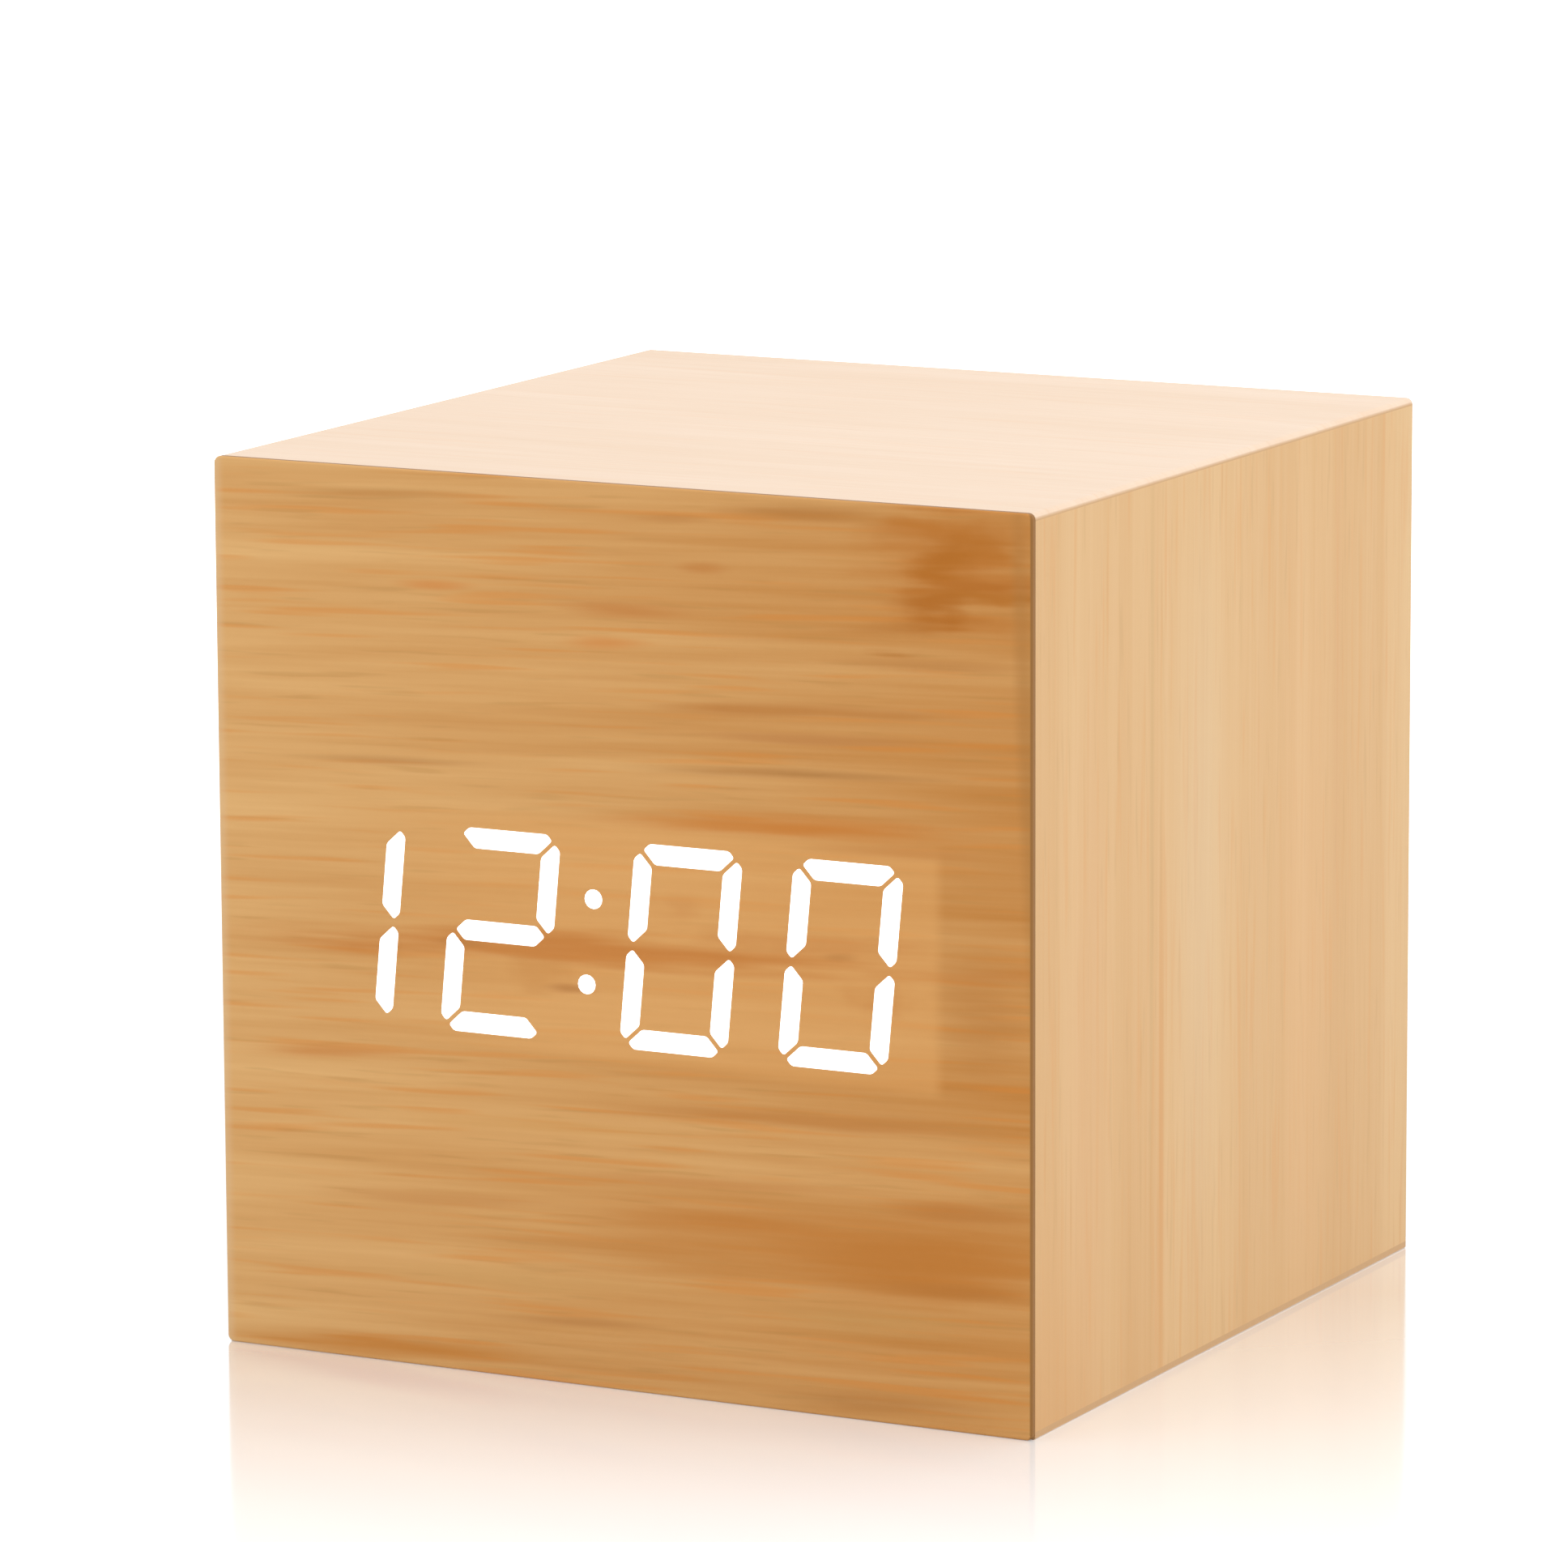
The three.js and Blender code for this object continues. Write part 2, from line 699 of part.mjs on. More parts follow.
function makeDisplay() {
  const group = assembly();
  place(group, "display_reflector", displayReflector(), finishes.whitePlastic());
  for (const digit of digits) {
    place(group, digit.name + "_guide", digitGuide(digit), finishes.lightGuide());
  }
  place(group, "colon_guide", colonGuide(), finishes.lightGuide());
  place(group, "display_board", displayBoard(), finishes.circuitBoard());
  const bite = displayBoardRear - frontBoardRear + displayScrewBite;
  const displayScrew = screw(smallScrewDiameter, smallScrewHeadDiameter, smallScrewHeadHeight, bite, 1);
  const spots = { display_screw_upper: -1, display_screw_lower: 1 };
  for (const [name, side] of Object.entries(spots)) {
    const spot = [side * standoffX, displayBoardRear, displayCentreHeight - side * standoffZ];
    place(group, name, displayScrew, finishes.screwSteel(), spot);
  }
}

// A white block in the window with a well for each bar, a flange behind the front board,
// two standoffs for the screws and two with locating pins
function displayReflector() {
  const body = block(
    within(displayWindowWidth / 2 - reflectorFit),
    [boardFront, displayBoardFront],
    about(displayCentreHeight, displayWindowHeight - 2 * reflectorFit),
  );
  const flange = block(
    within(flangeHalfWidth),
    [frontBoardRear, flangeRear],
    about(displayCentreHeight, flangeHeight),
  );
  const standoffs = [];
  const holes = [];
  for (const side of [-1, 1]) {
    const x = side * standoffX;
    const screwSpot = [x, displayCentreHeight - side * standoffZ];
    const pinSpot = [x, displayCentreHeight + side * standoffZ];
    for (const spot of [screwSpot, pinSpot]) {
      standoffs.push(rod("y", spot, standoffDiameter, flangeRear - overrun, displayBoardFront));
    }
    const pinEnd = displayBoardRear + locatingPinProud;
    standoffs.push(rod("y", pinSpot, locatingPinDiameter, flangeRear, pinEnd, holeSides));
    const past = [frontBoardRear - overrun, displayBoardFront + overrun];
    holes.push(rod("y", screwSpot, smallScrewDiameter + 2 * screwHoleFit, ...past, holeSides));
  }
  const wells = digits.flatMap(({ x, has }) =>
    [...has].map((letter) =>
      prism(barOutline(letter, x, guideFit), "y", boardFront - overrun, pocketFloor + overrun),
    ),
  );
  const dots = colonDots.map((centre) =>
    rod("y", centre, colonDotDiameter + 2 * guideFit, boardFront - overrun, pocketFloor + overrun),
  );
  const pockets = [...digits.map(digitPlate), colonPlate()].map(([x, z]) =>
    block(widen(x, guidePocketFit), [pocketFloor, displayBoardFront + overrun], widen(z, guidePocketFit)),
  );
  return cut(join(body, flange, ...standoffs), ...wells, ...dots, ...pockets, ...holes);
}

// A clear plate behind one digit with a light bar in each well.
// Lit bars reach the face of the veneer and the rest stop behind it.
function digitGuide(digit) {
  const [x, z] = digitPlate(digit);
  const plate = block(x, [pocketFloor, pocketFloor + guidePlateThickness], z);
  const lightBars = [...digit.has].map((letter) => {
    const end = digit.lit.includes(letter) ? front : boardFront + unlitSetback;
    return prism(barOutline(letter, digit.x, 0), "y", end, pocketFloor + overrun);
  });
  return join(plate, ...lightBars);
}

function colonGuide() {
  const [x, z] = colonPlate();
  const plate = block(x, [pocketFloor, pocketFloor + guidePlateThickness], z);
  const dots = colonDots.map((centre) => rod("y", centre, colonDotDiameter, front, pocketFloor + overrun));
  return join(plate, ...dots);
}

// The display board carries an LED for each bar and dot, and the header of the ribbon cable
function displayBoard() {
  const sheet = block(
    within(flangeHalfWidth),
    [displayBoardFront, displayBoardRear],
    about(displayCentreHeight, flangeHeight),
  );
  const barSpots = digits.flatMap(({ x, has }) =>
    [...has].map((letter) => {
      const bar = bars[letter];
      return [x + bar.x + bar.z * slant, displayCentreHeight + bar.z];
    }),
  );
  const leds = [...barSpots, ...colonDots].map(([x, z]) =>
    block(
      about(x, ledLength),
      [displayBoardFront - ledHeight, displayBoardFront + overrun],
      about(z, ledWidth),
    ),
  );
  const header = block(
    about(ribbonX, headerWidth),
    [displayBoardRear - overrun, displayBoardRear + headerDepth],
    about(displayCentreHeight - headerDrop, headerHeight),
  );
  const past = [displayBoardFront - overrun, displayBoardRear + overrun];
  const holes = [-1, 1].flatMap((side) => [
    rod(
      "y",
      [side * standoffX, displayCentreHeight - side * standoffZ],
      smallScrewDiameter + 2 * screwHoleFit,
      ...past,
      holeSides,
    ),
    rod(
      "y",
      [side * standoffX, displayCentreHeight + side * standoffZ],
      locatingPinDiameter + 2 * screwHoleFit,
      ...past,
      holeSides,
    ),
  ]);
  return cut(join(sheet, ...leds, header), ...holes);
}

function makeBack() {
  const group = assembly();
  place(group, "back_cover", backCover(), finishes.blackPlastic());
  const slotDepth = [coverScrewHeadHeight - screwSlotDepth, coverScrewHeadHeight + overrun];
  const slots = [
    block(about(0, screwSlotLength), slotDepth, about(0, screwSlotWidth)),
    block(about(0, screwSlotWidth), slotDepth, about(0, screwSlotLength)),
  ];
  const bite = coverThickness + coverScrewBite;
  const plainScrew = screw(coverScrewDiameter, coverScrewHeadDiameter, coverScrewHeadHeight, bite, 1);
  const coverScrew = cut(plainScrew, ...slots);
  for (const side of [-1, 1]) {
    const name = side < 0 ? "left_cover_screw" : "right_cover_screw";
    place(group, name, coverScrew, finishes.screwSteel(), [side * coverScrewX, coverRear, coverScrewZ]);
  }
  place(group, "battery_door", batteryDoor(), finishes.blackPlastic());
  buttonNames.forEach((name, i) => {
    const spot = [buttonX[i], 0, controlRowHeight];
    place(group, name + "_button_cap", buttonCap(), finishes.greyPlastic(), spot);
    place(group, name + "_switch_plunger", switchPlunger(), finishes.whitePlastic(), spot);
    place(group, name + "_switch_body", switchBody(), finishes.chipPlastic(), spot);
  });
}

const latchHalfOpening = latchWidth / 2 + latchSideGap;

// The cover is a plate with the cell bay behind it, the door's rebate, the holes and the board posts
function backCover() {
  const plateDepth = [coverFront, coverRear];
  const throughPlate = widen(plateDepth, overrun);
  const plate = block(within(coverHalfWidth), plateDepth, [coverBottom, coverTop]);
  const bay = block(
    within(bayHalfWidth + bayWall),
    [bayFloorFront, coverFront + overrun],
    [bayBottom - bayWall, bayTop + bayWall],
  );
  const hollow = block(within(bayHalfWidth), [bayFloorRear, coverRear + overrun], [bayBottom, bayTop]);
  const rebate = block(
    within(doorHalfWidth + doorEdgeGap),
    [doorFront - doorSeatGap, coverRear + overrun],
    [doorBottom - doorEdgeGap, doorTop + doorEdgeGap],
  );
  const latchNotch = block(within(latchHalfOpening), throughPlate, [bayTop, latchNotchTop]);
  const latchWallNotch = block(
    within(latchHalfOpening),
    [doorFront - latchDepth - latchSideGap, coverFront + overrun],
    [bayTop - overrun, bayTop + bayWall + overrun],
  );
  const fingerRecess = block(
    within(fingerRecessWidth / 2),
    [coverRear - fingerRecessDepth, coverRear + overrun],
    [latchNotchTop - overrun, latchNotchTop + fingerRecessHeight],
  );
  const hookNotches = [-1, 1].map((side) =>
    block(
      about(side * hookX, hookWidth + 2 * hookSideGap),
      [coverFront - hookGap - hookThickness - hookSwing, coverFront],
      [bayBottom - bayWall - overrun, bayBottom + overrun],
    ),
  );
  const buttonHoles = buttonX.map((x) =>
    rod("y", [x, controlRowHeight], buttonDiameter + 2 * buttonHoleFit, ...throughPlate, largeRoundSides),
  );
  const screwHoles = [-1, 1].map((side) =>
    rod(
      "y",
      [side * coverScrewX, coverScrewZ],
      coverScrewDiameter + 2 * screwHoleFit,
      ...throughPlate,
      holeSides,
    ),
  );
  const socketHole = prism(socketOutline(socketHoleFit), "y", ...throughPlate);
  const soundHole = rod(
    "y",
    [postX, controlRowHeight - microphoneDrop],
    microphoneHoleDiameter,
    ...throughPlate,
    holeSides,
  );
  const tabSlots = [terminals.positive, terminals.negative].map(({ side, z }) =>
    block(
      side > 0
        ? [bayHalfWidth - contactThickness - contactSlotFit, bayHalfWidth]
        : [-bayHalfWidth, contactThickness + contactSlotFit - bayHalfWidth],
      [bayFloorFront - overrun, bayFloorRear + overrun],
      about(z, contactTabWidth + 2 * contactSlotFit),
    ),
  );
  const cuts = [hollow, rebate, latchNotch, latchWallNotch, fingerRecess, ...hookNotches, ...tabSlots];
  const holes = [...buttonHoles, ...screwHoles, socketHole, soundHole];
  const shell = cut(join(plate, bay), ...cuts, ...holes);
  return cut(join(shell, ...bayRibs(), ...coverTongues(), ...boardPosts()), ...postBores());
}

// A low rib on the bay's floor between each two cells
function bayRibs() {
  return cellHeights.slice(1).map((z) =>
    block(
      within(bayHalfWidth - contactThickness - springLength),
      [bayFloorRear - overrun, bayFloorRear + bayRibHeight],
      about(z - (cellDiameter + cellGap) / 2, bayRibWidth),
    ),
  );
}

function coverTongues() {
  const bottom = coverBottom + tongueLift;
  return [-1, 1].map((side) =>
    block(
      about(side * tongueSpread, tongueWidth),
      [coverFront - tongueLength, coverFront + overrun],
      [bottom, bottom + tongueThickness],
    ),
  );
}

function boardPosts() {
  return [-1, 1].map((side) =>
    rod("y", [side * postX, postZ], postDiameter, mainBoardRear, coverFront + overrun),
  );
}

function postBores() {
  return [-1, 1].map((side) =>
    rod(
      "y",
      [side * postX, postZ],
      smallScrewDiameter + 2 * screwPilotFit,
      mainBoardRear - overrun,
      coverFront - postBoreEnd,
      holeSides,
    ),
  );
}

// The door's leaf with its grip ridges, two hooks at its foot and a folded latch at its head.
// It swings on the outer edge of its foot.
function batteryDoor() {
  const leaf = block(within(doorHalfWidth), [doorFront, coverRear], [doorBottom, doorTop]);
  const hookRear = coverFront - hookGap;
  const hookTop = bayBottom + hookRise;
  const hooks = [-1, 1].flatMap((side) => {
    const x = about(side * hookX, hookWidth);
    return [
      block(x, [hookRear - hookThickness, hookRear], [doorBottom - hookDrop, hookTop]),
      block(x, [hookRear - overrun, doorFront + overrun], [bayBottom + hookNeckGap, hookTop]),
    ];
  });
  const latchFront = doorFront - latchDepth;
  const legTop = doorTop;
  const latchX = within(latchWidth / 2);
  const outerLegBottom = legTop + latchGap;
  const nibRear = coverFront - hookGap;
  const latch = [
    block(latchX, [latchFront, doorFront + overrun], [legTop - latchThickness, legTop]),
    block(latchX, [latchFront, latchFront + latchThickness], [legTop - latchThickness, latchTop]),
    block(latchX, [latchFront, coverRear - latchTipInset], [outerLegBottom, latchTop]),
    block(latchX, [nibRear - latchNibLength, nibRear], [latchTop - overrun, latchTop + latchNibHeight]),
  ];
  const ridges = Array.from({ length: gripRidgeCount }, (_, i) =>
    block(
      within(gripRidgeLength / 2),
      [coverRear - overrun, coverRear + gripRidgeHeight],
      about(doorTop - gripTopInset - i * gripRidgePitch, gripRidgeWidth),
    ),
  );
  return join(leaf, ...hooks, ...latch, ...ridges);
}

const buttonFlangeRear = coverFront - buttonFlangeGap;
const buttonFlangeFront = buttonFlangeRear - buttonFlangeThickness;
const switchRear = mainBoardRear + switchDepth;

function buttonCap() {
  const radius = buttonDiameter / 2;
  const end = coverRear + buttonProud;
  const profile = [
    [0, buttonFlangeFront],
    [buttonFlangeDiameter / 2, buttonFlangeFront],
    [buttonFlangeDiameter / 2, buttonFlangeRear],
    [radius, buttonFlangeRear],
    [radius, end - buttonEdgeRound],
    [radius - buttonEdgeRound, end],
    [0, end],
  ];
  return turned(profile, "y", [0, 0], largeRoundSides);
}

function switchPlunger() {
  return rod("y", [0, 0], plungerDiameter, switchRear - plungerSeat, buttonFlangeFront);
}

function switchBody() {
  const housing = block(about(0, switchWidth), [mainBoardRear, switchRear], about(0, switchWidth));
  const bore = rod(
    "y",
    [0, 0],
    plungerDiameter + 2 * plungerFit,
    switchRear - switchBoreDepth,
    switchRear + overrun,
  );
  return cut(housing, bore);
}

// The end contacts of the row of cells, as the side and height of each
const terminals = {
  positive: { side: 1, z: cellHeights[cellCount - 1] },
  negative: { side: -1, z: cellHeights[0] },
};

function makeBattery() {
  const group = assembly();
  const cellNames = ["lower", "middle", "upper"];
  cellHeights.forEach((z, i) => {
    const side = i % 2 ? -1 : 1;
    place(group, cellNames[i] + "_cell", cell(side, z), finishes.cellJacket());
    place(group, cellNames[i] + "_contact_spring", contactSpring(-side, z), finishes.nickel());
  });
  place(group, "positive_contact", terminalContact(terminals.positive), finishes.nickel());
  place(group, "negative_contact", terminalContact(terminals.negative), finishes.nickel());
  place(group, "right_link_contact", linkContact(1, cellHeights[0], cellHeights[1]), finishes.nickel());
  place(group, "left_link_contact", linkContact(-1, cellHeights[1], cellHeights[2]), finishes.nickel());
}

// A cell whose nub points to the given side and touches the contact there
function cell(side, z) {
  const radius = cellDiameter / 2;
  const nubEnd = bayHalfWidth - contactThickness;
  const shoulder = nubEnd - cellNubLength;
  const foot = nubEnd - cellLength;
  const profile = [
    [0, foot],
    [radius - cellRimRound, foot],
    [radius, foot + cellRimRound],
    [radius, shoulder - cellRimRound],
    [radius - cellRimRound, shoulder],
    [cellNubDiameter / 2, shoulder],
    [cellNubDiameter / 2, nubEnd],
    [0, nubEnd],
  ];
  const turnedProfile = side > 0 ? profile : profile.map(([r, x]) => [r, -x]).reverse();
  return turned(turnedProfile, "x", [cellAxisY, z], largeRoundSides);
}

const contactMiddleY = bayFloorRear + overrun + contactDepth / 2;
const sideLimits = (side, inner, outer) => (side > 0 ? [inner, outer] : [-outer, -inner]);

function contactPlate(side, bottom, top) {
  return block(
    sideLimits(side, bayHalfWidth - contactThickness, bayHalfWidth),
    about(contactMiddleY, contactDepth),
    [bottom, top],
  );
}

// A terminal contact has a solder tab that passes through the floor of the bay
function terminalContact({ side, z }) {
  const tab = block(
    sideLimits(side, bayHalfWidth - contactThickness, bayHalfWidth),
    [bayFloorFront - contactTabLength, contactMiddleY],
    about(z, contactTabWidth),
  );
  return join(contactPlate(side, z - contactHeight / 2, z + contactHeight / 2), tab);
}

function linkContact(side, lowerZ, upperZ) {
  return contactPlate(side, lowerZ - contactHeight / 2, upperZ + contactHeight / 2);
}

// A tube of flat-sided rings along a list of points, closed at both ends.
// Each ring's first spoke follows the given direction.
function tube(points, radius, sides, spokeAt) {
  const vertices = [];
  const triangles = [];
  const count = points.length;
  points.forEach((point, i) => {
    const ahead = points[Math.min(i + 1, count - 1)];
    const behind = points[Math.max(i - 1, 0)];
    const run = ahead.clone().sub(behind).normalize();
    const spoke = spokeAt(i);
    spoke.addScaledVector(run, -spoke.dot(run)).normalize();
    const across = run.clone().cross(spoke);
    for (let k = 0; k < sides; k += 1) {
      const turn = (2 * Math.PI * k) / sides;
      const corner = point.clone();
      corner.addScaledVector(spoke, radius * Math.cos(turn));
      corner.addScaledVector(across, radius * Math.sin(turn));
      vertices.push(corner.x, corner.y, corner.z);
    }
  });
  for (let i = 0; i + 1 < count; i += 1) {
    for (let k = 0; k < sides; k += 1) {
      const [a, b] = [i * sides + k, i * sides + ((k + 1) % sides)];
      const [c, d] = [a + sides, b + sides];
      triangles.push(a, b, c, b, d, c);
    }
  }
  const last = (count - 1) * sides;
  for (let k = 1; k + 1 < sides; k += 1) {
    triangles.push(0, k + 1, k);
    triangles.push(last, last + k, last + k + 1);
  }
  const geometry = new THREE.BufferGeometry();
  geometry.setAttribute("position", new THREE.Float32BufferAttribute(vertices, 3));
  geometry.setIndex(triangles);
  return toSolid(geometry);
}

// The conical spring's centre line, from its wide end on the contact to its narrow end on the cell
function springPath(side, z) {
  const wireRadius = springWireDiameter / 2;
  const base = bayHalfWidth - contactThickness - wireRadius - springEndGap;
  const travel = springLength - springWireDiameter - 2 * springEndGap;
  const steps = Math.round(springTurns * springStepsPerTurn);
  const wide = (springOuterDiameter - springWireDiameter) / 2;
  const narrow = (springTipDiameter - springWireDiameter) / 2;
  return Array.from({ length: steps + 1 }, (_, i) => {
    const share = i / steps;
    const radius = THREE.MathUtils.lerp(wide, narrow, share);
    const turn = share * springTurns * 2 * Math.PI;
    const x = side * (base - travel * share);
    return new THREE.Vector3(x, cellAxisY + radius * Math.cos(turn), z + radius * Math.sin(turn));
  });
}

function contactSpring(side, z) {
  const spokeAt = () => new THREE.Vector3(1, 0, 0);
  return tube(springPath(side, z), springWireDiameter / 2, springSides, spokeAt);
}

// The least gap between the wire of one curl and the wire of any other, measured on the centre line
function leastSpringGap() {
  const points = springPath(1, 0);
  const stepShares = [0, 0.25, 0.5, 0.75];
  const fine = points.slice(1).flatMap((point, i) =>
    stepShares.map((share) => points[i].clone().lerp(point, share)),
  );
  const apart = (springStepsPerTurn * stepShares.length) / 2;
  let least = Infinity;
  fine.forEach((point, i) => {
    for (let k = i + apart; k < fine.length; k += 1) {
      least = Math.min(least, point.distanceTo(fine[k]));
    }
  });
  return least - springWireDiameter;
}

console.log("least gap between the curls of a contact spring: " + leastSpringGap().toFixed(2) + " mm");

function makeElectronics() {
  const group = assembly();
  place(group, "main_board", mainBoard(), finishes.circuitBoard());
  const bite = mainBoardThickness + mainScrewBite;
  const mainScrew = screw(smallScrewDiameter, smallScrewHeadDiameter, smallScrewHeadHeight, bite, -1);
  for (const side of [-1, 1]) {
    const name = side < 0 ? "left_board_screw" : "right_board_screw";
    place(group, name, mainScrew, finishes.screwSteel(), [side * postX, mainBoardFront, postZ]);
  }
  place(group, "power_socket_shell", socketShell(), finishes.nickel());
  place(group, "power_socket_tongue", socketTongue(), finishes.chipPlastic());
  place(group, "microphone", microphone(), finishes.nickel());
  place(group, "controller_chip", controllerChip(), finishes.chipPlastic());
  place(group, "crystal", crystal(), finishes.nickel());
  place(group, "capacitor", capacitor(), finishes.sleeve());
  place(group, "buzzer", buzzer(), finishes.blackPlastic());
  place(group, "temperature_sensor", temperatureSensor(), finishes.epoxy());
  place(group, "ribbon_cable", ribbonCable(), finishes.ribbonGrey());
  place(group, "positive_wire", terminalWire(terminals.positive), finishes.redWire());
  place(group, "negative_wire", terminalWire(terminals.negative), finishes.blackWire());
}

function mainBoard() {
  const depth = [mainBoardFront, mainBoardRear];
  const sheet = block(within(mainBoardHalfWidth), depth, about(mainBoardCentreZ, mainBoardHeight));
  const holes = [-1, 1].map((side) =>
    rod(
      "y",
      [side * postX, postZ],
      smallScrewDiameter + 2 * screwHoleFit,
      ...widen(depth, overrun),
      holeSides,
    ),
  );
  return cut(sheet, ...holes);
}

// The socket's D-like outline with two chamfered lower corners, grown all round by a fit
function socketOutline(grown) {
  const [left, right] = about(socketCentreX, socketWidth + 2 * grown);
  const [low, high] = about(controlRowHeight, socketHeight + 2 * grown);
  return [
    [left + socketChamfer, low],
    [right - socketChamfer, low],
    [right, low + socketChamfer],
    [right, high],
    [left, high],
    [left, low + socketChamfer],
  ];
}

const socketRear = coverRear - socketSetback;

function socketShell() {
  const outer = prism(socketOutline(0), "y", mainBoardRear, socketRear);
  const hollow = prism(socketOutline(-socketWall), "y", mainBoardRear + socketFloor, socketRear + overrun);
  return cut(outer, hollow);
}

function socketTongue() {
  return block(
    about(socketCentreX, tongueBladeWidth),
    [mainBoardRear + socketFloor, socketRear - tongueBladeSetback],
    about(controlRowHeight, tongueBladeThickness),
  );
}

function microphone() {
  const z = controlRowHeight - microphoneDrop;
  const rearEnd = coverFront - microphoneGap;
  const capsule = rod("y", [postX, z], microphoneDiameter, rearEnd - microphoneLength, rearEnd);
  const leads = [-1, 1].map((side) =>
    rod(
      "y",
      [postX + side * leadSpread, z],
      leadDiameter,
      mainBoardRear,
      rearEnd - microphoneLength + overrun,
      holeSides,
    ),
  );
  return join(capsule, ...leads);
}

function controllerChip() {
  const depth = [mainBoardFront - chipHeight, mainBoardFront - chipLegThickness];
  const body = block(about(chipX, chipWidth), depth, about(mainBoardCentreZ, chipLength));
  const legX = about(chipX, chipSpan);
  const legs = Array.from({ length: chipLegCount }, (_, i) =>
    block(
      legX,
      [mainBoardFront - 2 * chipLegThickness, mainBoardFront],
      about(mainBoardCentreZ + (i - (chipLegCount - 1) / 2) * chipLegPitch, chipLegWidth),
    ),
  );
  return join(body, ...legs);
}

// A metal can with half-round ends
function crystal() {
  const radius = crystalWidth / 2;
  const straight = crystalLength - crystalWidth;
  const steps = holeSides / 2;
  const arc = (centreZ, startTurn) =>
    Array.from({ length: steps + 1 }, (_, i) => {
      const turn = startTurn + (Math.PI * i) / steps;
      return [crystalX + radius * Math.cos(turn), centreZ + radius * Math.sin(turn)];
    });
  const outline = [
    ...arc(mainBoardCentreZ + straight / 2, 0),
    ...arc(mainBoardCentreZ - straight / 2, Math.PI),
  ];
  return prism(outline, "y", mainBoardFront - crystalHeight, mainBoardFront);
}

function capacitor() {
  const radius = capacitorDiameter / 2;
  const end = mainBoardFront - capacitorHeight;
  const profile = [
    [0, end],
    [radius - capacitorRimRound, end],
    [radius, end + capacitorRimRound],
    [radius, mainBoardFront],
    [0, mainBoardFront],
  ];
  return turned(profile, "y", [capacitorX, mainBoardCentreZ + capacitorRise], smallRoundSides);
}

function buzzer() {
  const centre = [buzzerX, mainBoardCentreZ];
  const end = mainBoardFront - buzzerHeight;
  const can = rod("y", centre, buzzerDiameter, end, mainBoardFront, largeRoundSides);
  return cut(can, rod("y", centre, buzzerHoleDiameter, end - overrun, end + buzzerHoleDepth, holeSides));
}

// A bead on two leads that stands off the board
function temperatureSensor() {
  const z = mainBoardCentreZ - sensorDrop;
  const beadRadius = sensorBeadDiameter / 2;
  const beadMiddle = mainBoardFront - sensorLeadLength;
  const profile = Array.from({ length: holeSides / 2 + 1 }, (_, i) => {
    const turn = (Math.PI * i) / (holeSides / 2);
    const radius = i % (holeSides / 2) ? beadRadius * Math.sin(turn) : 0;
    return [radius, beadMiddle - beadRadius * Math.cos(turn)];
  });
  const bead = turned(profile, "y", [sensorX, z], holeSides);
  const leads = [-1, 1].map((side) =>
    rod("y", [sensorX + (side * leadSpread) / 2, z], leadDiameter, beadMiddle, mainBoardFront, holeSides),
  );
  return join(bead, ...leads);
}

// The ribbon runs from the display board's header up and over to the main board in a slack curve
function ribbonCable() {
  const startY = displayBoardRear + headerDepth + ribbonEndGap;
  const endY = mainBoardFront - ribbonEndGap;
  const startZ = displayCentreHeight - headerDrop;
  const endZ = mainBoardBottom + ribbonRise;
  const curve = new THREE.CubicBezierCurve(
    new THREE.Vector2(startY, startZ),
    new THREE.Vector2(startY + ribbonSlack, startZ),
    new THREE.Vector2(endY - ribbonSlack, endZ),
    new THREE.Vector2(endY, endZ),
  );
  const edge = (offset) =>
    Array.from({ length: ribbonSteps + 1 }, (_, i) => {
      const share = i / ribbonSteps;
      const point = curve.getPoint(share);
      const run = curve.getTangent(share);
      return [point.x - run.y * offset, point.y + run.x * offset];
    });
  const outline = [...edge(-ribbonThickness / 2), ...edge(ribbonThickness / 2).reverse()];
  return prism(outline, "x", ...about(ribbonX, ribbonWidth));
}

// A wire from a terminal's solder tab, up past the bay and back to the main board
function terminalWire({ side, z }) {
  const tabEnd = bayFloorFront - contactTabLength;
  const x = side * (bayHalfWidth - contactThickness / 2);
  const endX = side * wireEndX;
  const endZ = mainBoardBottom + wireRise;
  const startY = tabEnd - wireEndGap;
  const bowY = startY - wireBow;
  const curve = new THREE.CatmullRomCurve3(
    [
      new THREE.Vector3(x, startY, z),
      new THREE.Vector3(x, bowY, z + wireBow),
      new THREE.Vector3((x + endX) / 2, bowY, (z + endZ) / 2),
      new THREE.Vector3(endX, bowY, endZ - wireBow),
      new THREE.Vector3(endX, bowY + wireBow, endZ),
      new THREE.Vector3(endX, mainBoardFront - wireEndGap, endZ),
    ],
    false,
    "centripetal",
  );
  const points = curve.getSpacedPoints(wireSteps);
  return tube(points, wireDiameter / 2, wireSides, () => new THREE.Vector3(1, 0, 0));
}

makeCase();
makeDisplay();
makeBack();
makeBattery();
makeElectronics();

export default clock;
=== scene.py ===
"""Wooden cube alarm clock with a lit display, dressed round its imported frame.

Every piece is in metres, in the frame's own axes: +Z up, the display facing -Y, and the origin under the
middle of the clock. Veneer figures and material patterns are given in millimetres.
"""

import logging
import math
from abc import ABC, abstractmethod
from collections.abc import Callable, Iterator, Sequence
from contextlib import contextmanager
from dataclasses import dataclass, replace
from enum import Enum

import bmesh
import bpy
from mathutils import Matrix, Vector


